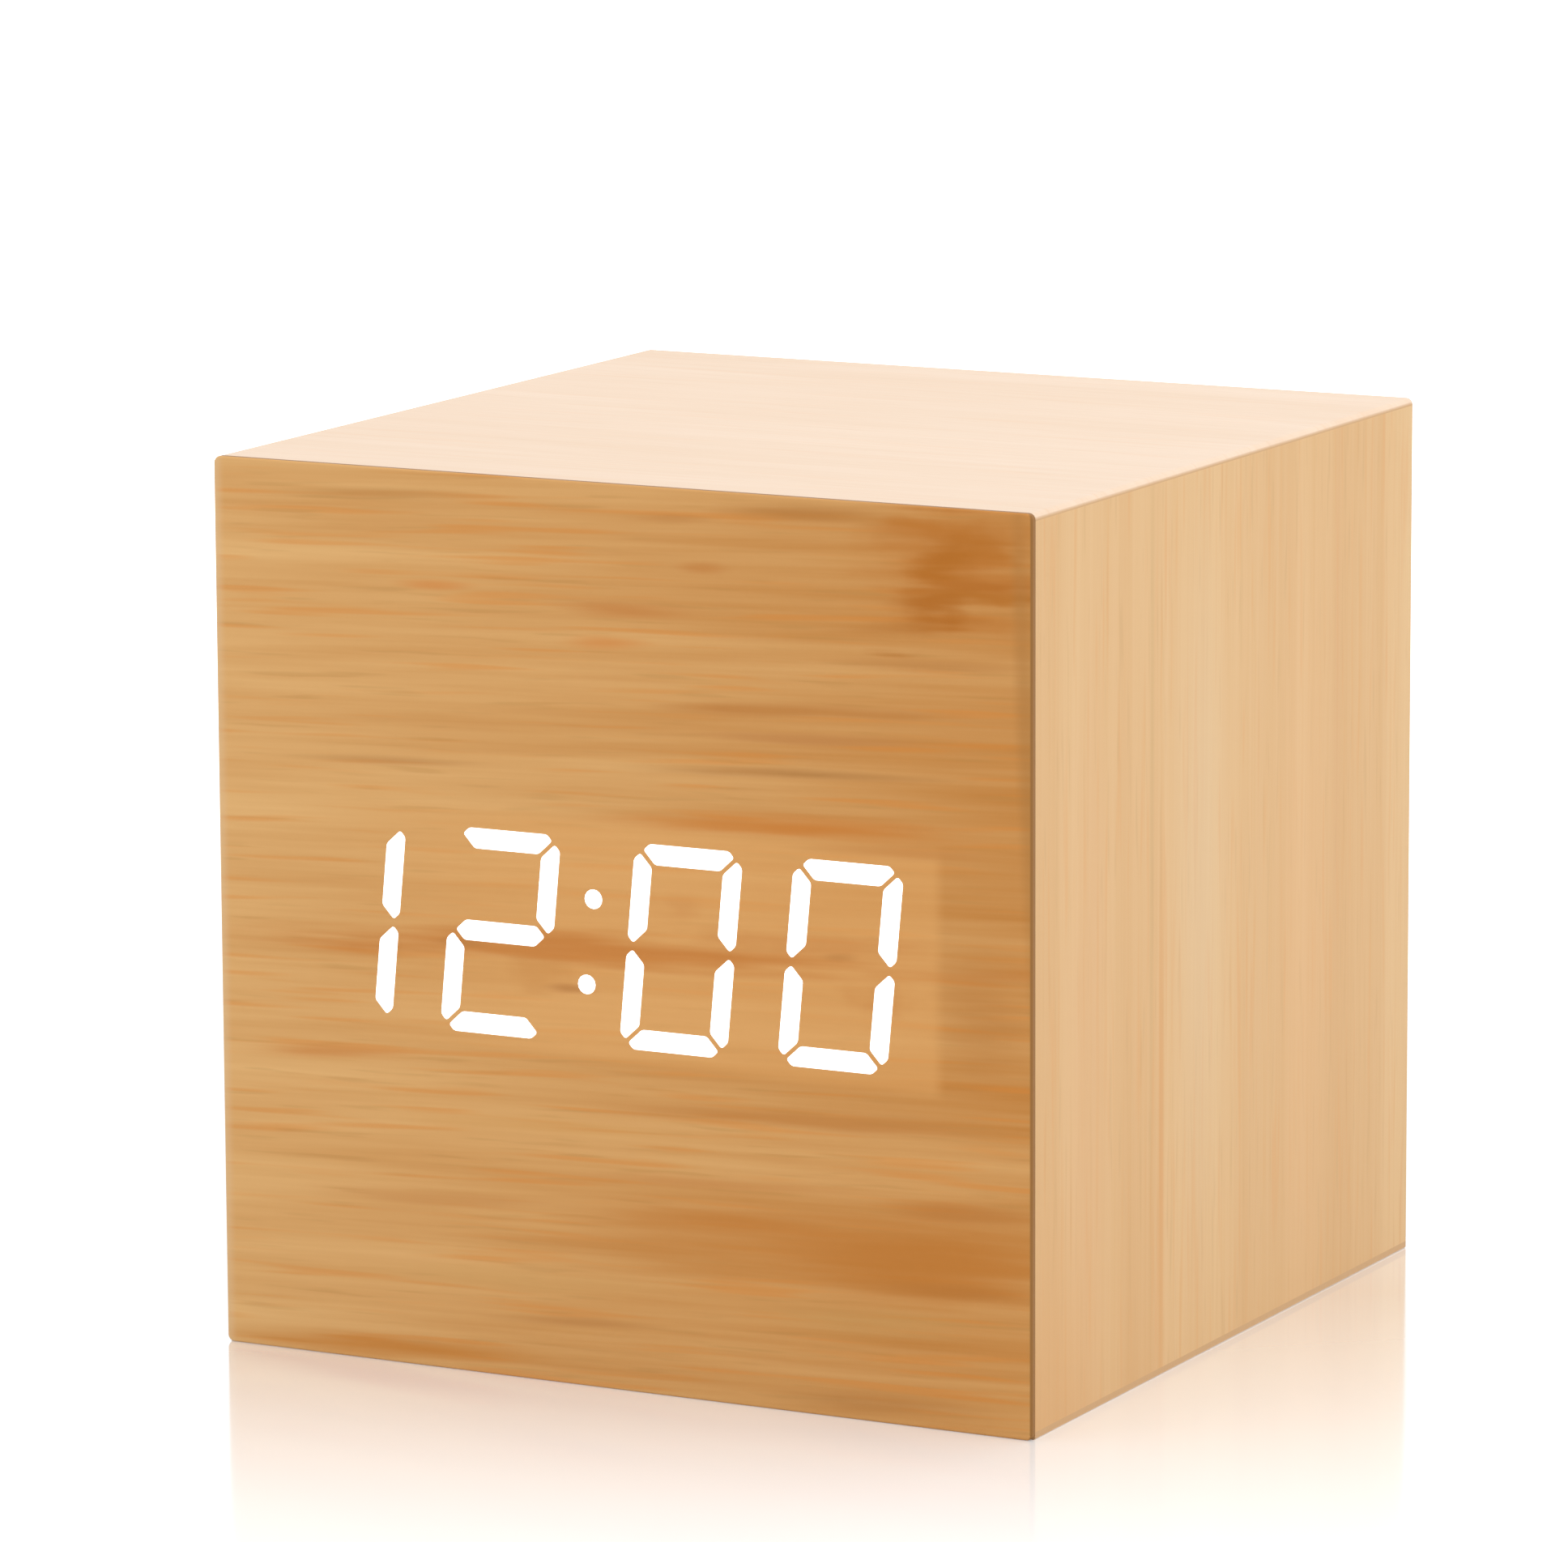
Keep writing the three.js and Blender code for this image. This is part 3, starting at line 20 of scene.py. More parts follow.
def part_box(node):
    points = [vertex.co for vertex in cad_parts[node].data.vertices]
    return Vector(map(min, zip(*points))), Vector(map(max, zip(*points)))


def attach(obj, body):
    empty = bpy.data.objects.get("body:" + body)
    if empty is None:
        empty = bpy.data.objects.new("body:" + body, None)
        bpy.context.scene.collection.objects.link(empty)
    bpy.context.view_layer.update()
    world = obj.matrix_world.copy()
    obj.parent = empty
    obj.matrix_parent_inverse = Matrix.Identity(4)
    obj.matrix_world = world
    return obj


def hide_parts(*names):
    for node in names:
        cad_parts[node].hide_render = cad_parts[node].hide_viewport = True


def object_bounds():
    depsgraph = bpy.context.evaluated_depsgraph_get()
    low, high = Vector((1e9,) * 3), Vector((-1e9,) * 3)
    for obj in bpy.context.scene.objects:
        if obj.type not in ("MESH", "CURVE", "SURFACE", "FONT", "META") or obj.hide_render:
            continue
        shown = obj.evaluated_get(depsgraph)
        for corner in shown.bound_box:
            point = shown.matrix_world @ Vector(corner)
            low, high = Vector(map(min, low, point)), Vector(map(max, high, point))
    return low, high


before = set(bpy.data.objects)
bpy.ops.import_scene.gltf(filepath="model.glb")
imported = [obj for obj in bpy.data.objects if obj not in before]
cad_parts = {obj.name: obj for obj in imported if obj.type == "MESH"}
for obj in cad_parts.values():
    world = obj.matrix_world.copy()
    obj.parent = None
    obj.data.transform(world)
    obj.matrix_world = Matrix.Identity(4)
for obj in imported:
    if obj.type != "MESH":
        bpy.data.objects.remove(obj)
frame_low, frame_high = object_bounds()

log = logging.getLogger("clock")

MM = 0.001
BODY = "clock_case"
# The finest length that counts, and the widest seam that is closed.
FINEST = 0.01 * MM
SEAM = 0.001 * MM

Span = tuple[float, float]
Chosen = Callable[[Vector, Vector], bool]
Feed = bpy.types.NodeSocket | bpy.types.Node


def linear(code: str) -> tuple[float, float, float, float]:
    """Turns an sRGB hex colour to linear light.

    Args:
        code: A colour such as "#d2a265".

    Returns:
        Its linear red, green and blue, and an alpha of one.
    """
    shares = [int(code[i : i + 2], 16) / 255 for i in (1, 3, 5)]
    toe, slope, offset, power = 0.04045, 12.92, 0.055, 2.4
    light = [s / slope if s <= toe else ((s + offset) / (1 + offset)) ** power for s in shares]
    return (light[0], light[1], light[2], 1.0)


def about(middle: float, size: float) -> Span:
    """Gives where a length starts and ends when it is centred on a place."""
    return (middle - size / 2, middle + size / 2)


def near(value: float, target: float) -> bool:
    """Says whether two places are the same to the finest length that counts."""
    return abs(value - target) < FINEST


def along_y(middle: Vector, run: Vector) -> bool:
    """Says of an edge whether it runs from front to rear."""
    return abs(run.y) > 0.9


class Axis(Enum):
    """The axis that a turned piece is spun about, as its direction."""

    X = (1.0, 0.0, 0.0)
    Y = (0.0, 1.0, 0.0)


class Grain(Enum):
    """The frame's axes along the grain of a veneer, across it and into the leaf."""

    ACROSS_FRONT = ("X", "Z", "Y")
    UP_THE_SIDE = ("Z", "Y", "X")
    ACROSS_TOP = ("X", "Y", "Z")


class NodeBench:
    """The node tree of one material or of the world."""

    def __init__(self, tree: bpy.types.NodeTree) -> None:
        """Empties the tree.

        Args:
            tree: The node tree to work in.
        """
        self.tree = tree
        tree.nodes.clear()

    def add(self, kind: str, inputs: dict | None = None, **settings: object) -> bpy.types.Node:
        """Adds a node with its settings and links.

        Args:
            kind: The node's type after "ShaderNode".
            inputs: What goes to each input, by its name or number among those in use: a value, the socket
                that feeds it, or a node whose first output in use feeds it.
            **settings: The node's own properties.

        Returns:
            The new node.
        """
        node = self.tree.nodes.new("ShaderNode" + kind)
        for name, value in settings.items():
            setattr(node, name, value)
        used = [socket for socket in node.inputs if socket.enabled]
        for key, value in (inputs or {}).items():
            socket = used[key] if isinstance(key, int) else next(s for s in used if s.name == key)
            if isinstance(value, bpy.types.Node):
                value = next(output for output in value.outputs if output.enabled)
            if isinstance(value, bpy.types.NodeSocket):
                self.tree.links.new(value, socket)
            else:
                socket.default_value = value
        return node

    def millimetres(self) -> bpy.types.Node:
        """Gives the place on the piece in millimetres."""
        return self.add(
            "VectorMath",
            {0: self.add("TexCoord").outputs["Object"], "Scale": 1 / MM},
            operation="SCALE",
        )


def new_material(name: str) -> tuple[bpy.types.Material, NodeBench]:
    """Starts a material with an empty node tree.

    Args:
        name: The material's name.

    Returns:
        The material and its nodes.
    """
    material = bpy.data.materials.new(name)
    material.use_nodes = True
    return material, NodeBench(material.node_tree)


class Finish(ABC):
    """The surface of one real material."""

    name: str

    @abstractmethod
    def surface(self, bench: NodeBench) -> dict:
        """Adds the nodes of the finish.

        Args:
            bench: The material's nodes.

        Returns:
            What goes to each input of the shader.
        """

    def material(self) -> bpy.types.Material:
        """Builds the material."""
        material, bench = new_material(self.name)
        shader = bench.add("BsdfPrincipled", self.surface(bench))
        bench.add("OutputMaterial", {"Surface": shader})
        return material


@dataclass(frozen=True)
class Figure:
    """A soft patch of another colour in a veneer.

    Its place is along and across the leaf, and it lies along the grain unless it is turned. It is ragged
    where the grain wavers and curls where the grain swirls round a knot.
    """

    along: float
    across: float
    half_length: float
    half_width: float
    colour: str
    strength: float
    ragged: float = 0.25
    curl: float = 0.0
    turn_degrees: float = 0.0


@dataclass(frozen=True)
class WindowGlow:
    """A painted glow over the display window, where the display's light shows faintly through a veneer.

    Each side has the place where the glow starts to show and the place where it shows in full.
    """

    left: Span
    right: Span
    bottom: Span
    top: Span
    colour: str
    strength: float


@dataclass(frozen=True)
class Wash:
    """Fine streaks of another colour in a veneer, which show where their noise passes its start."""

    colour: str
    strength: float
    size: Span
    seed: float
    start: float
    rise: float = 0.2


@dataclass(frozen=True)
class BambooVeneer(Finish):
    """Sliced bamboo veneer under a thin matt lacquer.

    Its long fibres give fine soft streaks in tan and honey with a few orange ones, and the lacquer gives a
    low broad sheen. The fibre, strand and band are the length and width of its streaks, in millimetres.
    """

    name: str
    grain: Grain
    pale: str
    deep: str
    cut_edge: str
    washes: tuple[Wash, ...]
    tilt_degrees: float = 0.0
    # Painted shade: a slope that darkens the leaf steadily along its grain.
    painted_shade_slope: float = 0.0
    contrast: float = 1.0
    fibre: Span = (14.0, 0.33)
    strand: Span = (26.0, 1.1)
    band: Span = (55.0, 4.5)
    seeds: tuple[float, float, float] = (23.1, 11.3, 3.7)
    weights: tuple[float, float, float] = (0.3, 0.9, 1.2)
    roughness: float = 0.42
    roughness_range: Span = (-0.06, 0.08)
    specular: float = 0.5
    relief: float = 0.02
    relief_strength: float = 0.5
    figures: tuple[Figure, ...] = ()
    figure_fade: Span = (1.15, 0.1)
    window: WindowGlow | None = None
    side_facing: Span = (0.45, 0.1)
    end_facing: Span = (0.9, 0.99)
    knot: Span = (3.4, 2.2)
    push: float = 2.0
    # Painted highlight: a pale band on the near end of the leaf, its colour and its start, width and
    # strength.
    painted_highlight: str = "#e6c193"
    painted_highlight_end: tuple[float, float, float] | None = None

    def layer(self, bench: NodeBench, place: Feed, size: Span, seed: float, detail: float = 1.0) -> Feed:
        """Adds one layer of streaks.

        Args:
            bench: The material's nodes.
            place: The place along, across and into the veneer.
            size: A streak's length and width.
            seed: Where in the noise the layer is taken from.
            detail: How many finer octaves it has.

        Returns:
            The layer's value, from 0 to 1.
        """
        scale = (1 / size[0], 1 / size[1], 0.0)
        streaks = bench.add("Mapping", {"Vector": place, "Location": (seed, seed, seed), "Scale": scale})
        return bench.add("TexNoise", {"Vector": streaks, "Scale": 1.0, "Detail": detail, "Roughness": 0.55})

    def along_the_grain(self, bench: NodeBench) -> Feed:
        """Gives the place along, across and into the veneer, with the grain's slight tilt.

        Args:
            bench: The material's nodes.

        Returns:
            The place.
        """
        split = bench.add("SeparateXYZ", {0: bench.millimetres()})
        ordered = bench.add("CombineXYZ", {i: split.outputs[axis] for i, axis in enumerate(self.grain.value)})
        return bench.add(
            "VectorRotate",
            {"Vector": ordered, "Angle": -math.radians(self.tilt_degrees)},
            rotation_type="Z_AXIS",
        )

    def tone(self, bench: NodeBench, place: Feed) -> Feed:
        """Gives the share of the deep colour at each place.

        Args:
            bench: The material's nodes.
            place: The place along, across and into the veneer.

        Returns:
            The share, from 0 to 1.
        """
        middle = 0.5
        total: Feed | float = middle
        sizes = (self.fibre, self.strand, self.band)
        for size, seed, weight in zip(sizes, self.seeds, self.weights):
            streaks = self.layer(bench, place, size, seed)
            centred = bench.add("Math", {0: streaks, 1: middle}, operation="SUBTRACT")
            weighed = {0: centred, 1: weight * self.contrast, 2: total}
            total = bench.add("Math", weighed, operation="MULTIPLY_ADD")
        if not self.painted_shade_slope:
            return total
        # Painted shade: the slope darkens the leaf steadily along its grain, towards the side that gets less
        # lamp light.
        along = bench.add("SeparateXYZ", {0: place}).outputs["X"]
        slope = self.painted_shade_slope / (frame_high.x / MM)
        return bench.add("Math", {0: along, 1: slope, 2: total}, operation="MULTIPLY_ADD")

    def wander(self, bench: NodeBench, place: Feed, size: Span) -> Feed:
        """Gives a noise that pushes a place about.

        Args:
            bench: The material's nodes.
            place: The place along, across and into the veneer.
            size: The length and width of its waves.

        Returns:
            The push.
        """
        spread = bench.add("Mapping", {"Vector": place, "Scale": (1 / size[0], 1 / size[1], 0.0)})
        noise = bench.add("TexNoise", {"Vector": spread, "Scale": 1.0, "Detail": 2.0})
        return bench.add(
            "MapRange",
            {
                "Vector": noise.outputs["Color"],
                "To Min": (-self.push, -self.push, 0.0),
                "To Max": (self.push, self.push, 0.0),
            },
            data_type="FLOAT_VECTOR",
        )

    def figure_mask(self, bench: NodeBench, place: Feed, waver: Feed, swirl: Feed, figure: Figure) -> Feed:
        """Gives how much of a figure shows at each place.

        Args:
            bench: The material's nodes.
            place: The place along, across and into the veneer.
            waver: A push that makes the figure's outline ragged along the grain.
            swirl: A push that makes it curl.
            figure: The figure.

        Returns:
            The share, from 0 to the figure's strength.
        """
        tilt = Matrix.Rotation(-math.radians(self.tilt_degrees), 2)
        local = bench.add(
            "Mapping",
            {
                "Vector": place,
                "Location": (tilt @ Vector((figure.along, figure.across))).to_3d(),
                "Rotation": (0.0, 0.0, math.radians(figure.turn_degrees)),
                "Scale": (figure.half_length, figure.half_width, 1.0),
            },
            vector_type="TEXTURE",
        )
        for push, amount in ((waver, figure.ragged), (swirl, figure.curl)):
            if amount:
                pushed = {0: push, 1: (amount, amount, 0.0), 2: local}
                local = bench.add("VectorMath", pushed, operation="MULTIPLY_ADD")
        flat = bench.add("VectorMath", {0: local, 1: (1.0, 1.0, 0.0)}, operation="MULTIPLY")
        reach = bench.add("VectorMath", {0: flat}, operation="LENGTH")
        gone, full = self.figure_fade
        return bench.add(
            "MapRange",
            {"Value": reach, "From Min": gone, "From Max": full, "To Max": figure.strength},
            interpolation_type="SMOOTHSTEP",
        )

    def window_glow_mask(self, bench: NodeBench, window: WindowGlow) -> Feed:
        """Gives how much of the painted glow over the window shows at each place.

        Args:
            bench: The material's nodes.
            window: The painted glow over the display window.

        Returns:
            The share, from 0 to the window's strength.
        """
        split = bench.add("SeparateXYZ", {0: bench.millimetres()})
        share: Feed | float = window.strength
        length, width, _ = self.grain.value
        sides = ((length, window.left), (length, window.right), (width, window.bottom), (width, window.top))
        for axis, (start, full) in sides:
            inside = bench.add(
                "MapRange",
                {"Value": split.outputs[axis], "From Min": start, "From Max": full},
                interpolation_type="SMOOTHSTEP",
            )
            share = bench.add("Math", {0: inside, 1: share}, operation="MULTIPLY")
        return share

    def edge_mask(self, bench: NodeBench) -> Feed:
        """Gives 1 on the cut edges of the leaf: its sides, and the round of the edge at its far end.

        Args:
            bench: The material's nodes.

        Returns:
            The share, from 0 to 1.
        """
        normal = bench.add("SeparateXYZ", {0: bench.add("TexCoord").outputs["Normal"]})
        length, _, into = self.grain.value
        facing = bench.add("Math", {0: normal.outputs[into]}, operation="ABSOLUTE")
        side, end = (
            bench.add("MapRange", {"Value": value, "From Min": start, "From Max": full})
            for value, (start, full) in (
                (facing, self.side_facing),
                (normal.outputs[length], self.end_facing),
            )
        )
        return bench.add("Math", {0: side, 1: end}, operation="MAXIMUM")

    def painted_highlight_mask(self, bench: NodeBench) -> Feed:
        """Gives how much painted highlight lies on the near end of the leaf, where its round catches the
        light.

        Args:
            bench: The material's nodes.

        Returns:
            The share, from 0 to 1.
        """
        along = bench.add("SeparateXYZ", {0: bench.millimetres()}).outputs[self.grain.value[0]]
        start, width, strength = self.painted_highlight_end
        return bench.add(
            "MapRange",
            {"Value": along, "From Min": start + width, "From Max": start, "To Max": strength},
            interpolation_type="SMOOTHSTEP",
        )

    def colours(self, bench: NodeBench, place: Feed) -> list[tuple[str, Feed]]:
        """Gives the colours that are laid over the pale one.

        Args:
            bench: The material's nodes.
            place: The place along, across and into the veneer.

        Returns:
            Each colour with how much of it shows, from the lowest to the highest.
        """
        laid = [(self.deep, self.tone(bench, place))]
        for wash in self.washes:
            shown = {
                "Value": self.layer(bench, place, wash.size, wash.seed),
                "From Min": wash.start,
                "From Max": wash.start + wash.rise,
                "To Max": wash.strength,
            }
            laid.append((wash.colour, bench.add("MapRange", shown, interpolation_type="SMOOTHSTEP")))
        if self.window:
            laid.append((self.window.colour, self.window_glow_mask(bench, self.window)))
        waver = self.wander(bench, place, (self.strand[0] / 2, self.strand[1]))
        swirl = self.wander(bench, place, self.knot)
        for figure in self.figures:
            laid.append((figure.colour, self.figure_mask(bench, place, waver, swirl, figure)))
        # A band of painted highlight on the near end of the leaf.
        if self.painted_highlight_end:
            laid.append((self.painted_highlight, self.painted_highlight_mask(bench)))
        return [*laid, (self.cut_edge, self.edge_mask(bench))]

    def surface(self, bench: NodeBench) -> dict:
        """Lays the colours over each other and gives the fibres their relief and sheen.

        Args:
            bench: The material's nodes.

        Returns:
            What goes to each input of the shader.
        """
        place = self.along_the_grain(bench)
        colour: Feed | tuple[float, float, float, float] = linear(self.pale)
        for above, share in self.colours(bench, place):
            colour = bench.add("Mix", {"Factor": share, "A": colour, "B": linear(above)}, data_type="RGBA")
        fibre = self.layer(bench, place, self.fibre, self.seeds[0], detail=3.0)
        smooth, rough = (self.roughness + change for change in self.roughness_range)
        return {
            "Base Color": colour,
            "Roughness": bench.add("MapRange", {"Value": fibre, "To Min": smooth, "To Max": rough}),
            "IOR": 1.5,
            "Specular IOR Level": self.specular,
            "Normal": bench.add(
                "Bump",
                {"Height": fibre, "Distance": self.relief * MM, "Strength": self.relief_strength},
            ),
        }


@dataclass(frozen=True)
class Speckled(Finish):
    """A solid stock whose colour shifts in fine specks, such as fibreboard, softwood or moulded plastic.

    The grit is the size of its specks in millimetres, and a stretch along an axis turns them into grain. The
    relief is the height of its surface texture, and the share is how much of the specks' colour shows.
    """

    name: str
    colour: str
    speck: str
    grit: float
    roughness: float
    stretch: tuple[float, float, float] = (1.0, 1.0, 1.0)
    relief: float = 0.01
    relief_strength: float = 0.6
    share: float = 0.6
    shown: Span = (0.35, 0.7)
    roughness_range: Span = (-0.05, 0.07)
    ior: float = 1.5
    metallic: float = 0.0

    def surface(self, bench: NodeBench) -> dict:
        """Spreads the specks.

        Args:
            bench: The material's nodes.

        Returns:
            What goes to each input of the shader.
        """
        scale = tuple(1 / (self.grit * part) for part in self.stretch)
        specks = bench.add("Mapping", {"Vector": bench.millimetres(), "Scale": scale})
        noise = bench.add("TexNoise", {"Vector": specks, "Scale": 1.0, "Detail": 3.0})
        start, full = self.shown
        shown = {"Value": noise, "From Min": start, "From Max": full, "To Max": self.share}
        colours = {
            "Factor": bench.add("MapRange", shown),
            "A": linear(self.colour),
            "B": linear(self.speck),
        }
        smooth, rough = (self.roughness + change for change in self.roughness_range)
        return {
            "Base Color": bench.add("Mix", colours, data_type="RGBA"),
            "Roughness": bench.add("MapRange", {"Value": noise, "To Min": smooth, "To Max": rough}),
            "Metallic": self.metallic,
            "IOR": self.ior,
            "Normal": bench.add(
                "Bump",
                {"Height": noise, "Distance": self.relief * MM, "Strength": self.relief_strength},
            ),
        }


@dataclass(frozen=True)
class LightGuide(Finish):
    """Clear acrylic that glows white where it ends in the face of the veneer, and is milky behind it.

    The lit depth is where the glow starts and where it is full, behind the lit face, in millimetres.
    """

    name: str
    colour: str
    glow: float
    lit_face: float
    lit_depth: Span = (0.45, 0.35)
    roughness: float = 0.35

    def surface(self, bench: NodeBench) -> dict:
        """Lights the face.

        Args:
            bench: The material's nodes.

        Returns:
            What goes to each input of the shader.
        """
        depth = bench.add("SeparateXYZ", {0: bench.millimetres()}).outputs["Y"]
        start, full = (self.lit_face + behind for behind in self.lit_depth)
        lit = bench.add("MapRange", {"Value": depth, "From Min": start, "From Max": full})
        return {
            "Base Color": linear(self.colour),
            "Roughness": self.roughness,
            "IOR": 1.49,
            "Emission Color": linear(self.colour),
            "Emission Strength": bench.add("Math", {0: lit, 1: self.glow}, operation="MULTIPLY"),
        }


@dataclass(frozen=True)
class SolderMask(Finish):
    """Glass-fibre board under green lacquer, with copper tracks that show through as a lighter green.

    The pitch is the spacing of its parts' legs in millimetres, and the track is in the cells' own scale.
    """

    name: str
    lacquer: str
    track: str
    pitch: float
    roughness: float = 0.35
    cells: tuple[float, float, float] = (4.0, 4.0, 2.0)
    ring: float = 0.25
    track_edge: Span = (0.11, 0.14)
    track_share: float = 0.7
    relief: float = 0.03
    relief_strength: float = 0.5

    def surface(self, bench: NodeBench) -> dict:
        """Draws the tracks.

        Args:
            bench: The material's nodes.

        Returns:
            What goes to each input of the shader.
        """
        scale = tuple(1 / self.pitch / count for count in self.cells)
        spread = bench.add("Mapping", {"Vector": bench.millimetres(), "Scale": scale})
        cells = bench.add("TexVoronoi", {"Vector": spread, "Scale": 1.0}, distance="MANHATTAN", feature="F1")
        rings = bench.add("Math", {0: cells, 1: self.ring}, operation="PINGPONG")
        start, full = self.track_edge
        shown = {"Value": rings, "From Min": start, "From Max": full, "To Max": self.track_share}
        track = bench.add("MapRange", shown)
        colours = {"Factor": track, "A": linear(self.lacquer), "B": linear(self.track)}
        return {
            "Base Color": bench.add("Mix", colours, data_type="RGBA"),
            "Roughness": self.roughness,
            "IOR": 1.55,
            "Normal": bench.add(
                "Bump",
                {"Height": track, "Distance": self.relief * MM, "Strength": self.relief_strength},
            ),
        }


@dataclass(frozen=True)
class CellJacket(Finish):
    """The shrunk printed sleeve of a dry cell, with a band at its positive end and bright metal ends.

    The film shows a crisp highlight along the cell. Places are in millimetres along X.
    """

    name: str
    sleeve: str
    band: str
    metal: str
    band_start: float
    sleeve_start: float
    sleeve_end: float
    nub_side: int
    edge_blur: float = 0.08
    roughness_range: Span = (0.2, 0.32)

    def surface(self, bench: NodeBench) -> dict:
        """Draws the sleeve and its band between the bare ends.

        Args:
            bench: The material's nodes.

        Returns:
            What goes to each input of the shader.
        """
        place = bench.add("SeparateXYZ", {0: bench.millimetres()}).outputs["X"]
        along = bench.add("Math", {0: place, 1: float(self.nub_side)}, operation="MULTIPLY")
        blur = self.edge_blur
        banded, started, before_end = (
            bench.add("MapRange", {"Value": along, "From Min": edge - rise, "From Max": edge + rise})
            for edge, rise in ((self.band_start, blur), (self.sleeve_start, blur), (self.sleeve_end, -blur))
        )
        covered = bench.add("Math", {0: started, 1: before_end}, operation="MULTIPLY")
        printed = {"Factor": banded, "A": linear(self.sleeve), "B": linear(self.band)}
        over = bench.add("Mix", printed, data_type="RGBA")
        colours = {"Factor": covered, "A": linear(self.metal), "B": over}
        film = bench.add("TexNoise", {"Vector": bench.millimetres(), "Scale": 3.0, "Detail": 2.0})
        smooth, rough = self.roughness_range
        return {
            "Base Color": bench.add("Mix", colours, data_type="RGBA"),
            "Metallic": bench.add("Math", {0: 1.0, 1: covered}, operation="SUBTRACT"),
            "Roughness": bench.add("MapRange", {"Value": film, "To Min": smooth, "To Max": rough}),
        }


def placed(name: str, data: bpy.types.ID) -> bpy.types.Object:
    """Puts a new object in the scene.

    Args:
        name: The object's name.
        data: Its mesh, curve, lamp or camera.

    Returns:
        The object.
    """
    obj = bpy.data.objects.new(name, data)
    bpy.context.scene.collection.objects.link(obj)
    return obj


def pick(*objects: bpy.types.Object) -> None:
    """Selects objects and nothing else, and makes the first one active.

    Args:
        *objects: The objects.
    """
    bpy.ops.object.select_all(action="DESELECT")
    for obj in objects:
        obj.select_set(True)
    bpy.context.view_layer.objects.active = objects[0]


@contextmanager
def editing(obj: bpy.types.Object, mode: str) -> Iterator[bmesh.types.BMesh]:
    """Opens a piece in edit mode with nothing selected.

    Args:
        obj: The piece.
        mode: What is selected: VERT, EDGE or FACE.

    Yields:
        The piece's mesh in edit mode.
    """
    pick(obj)
    bpy.ops.object.mode_set(mode="EDIT")
    bpy.ops.mesh.select_mode(type=mode)
    bpy.ops.mesh.select_all(action="DESELECT")
    yield bmesh.from_edit_mesh(obj.data)
    bpy.ops.object.mode_set(mode="OBJECT")


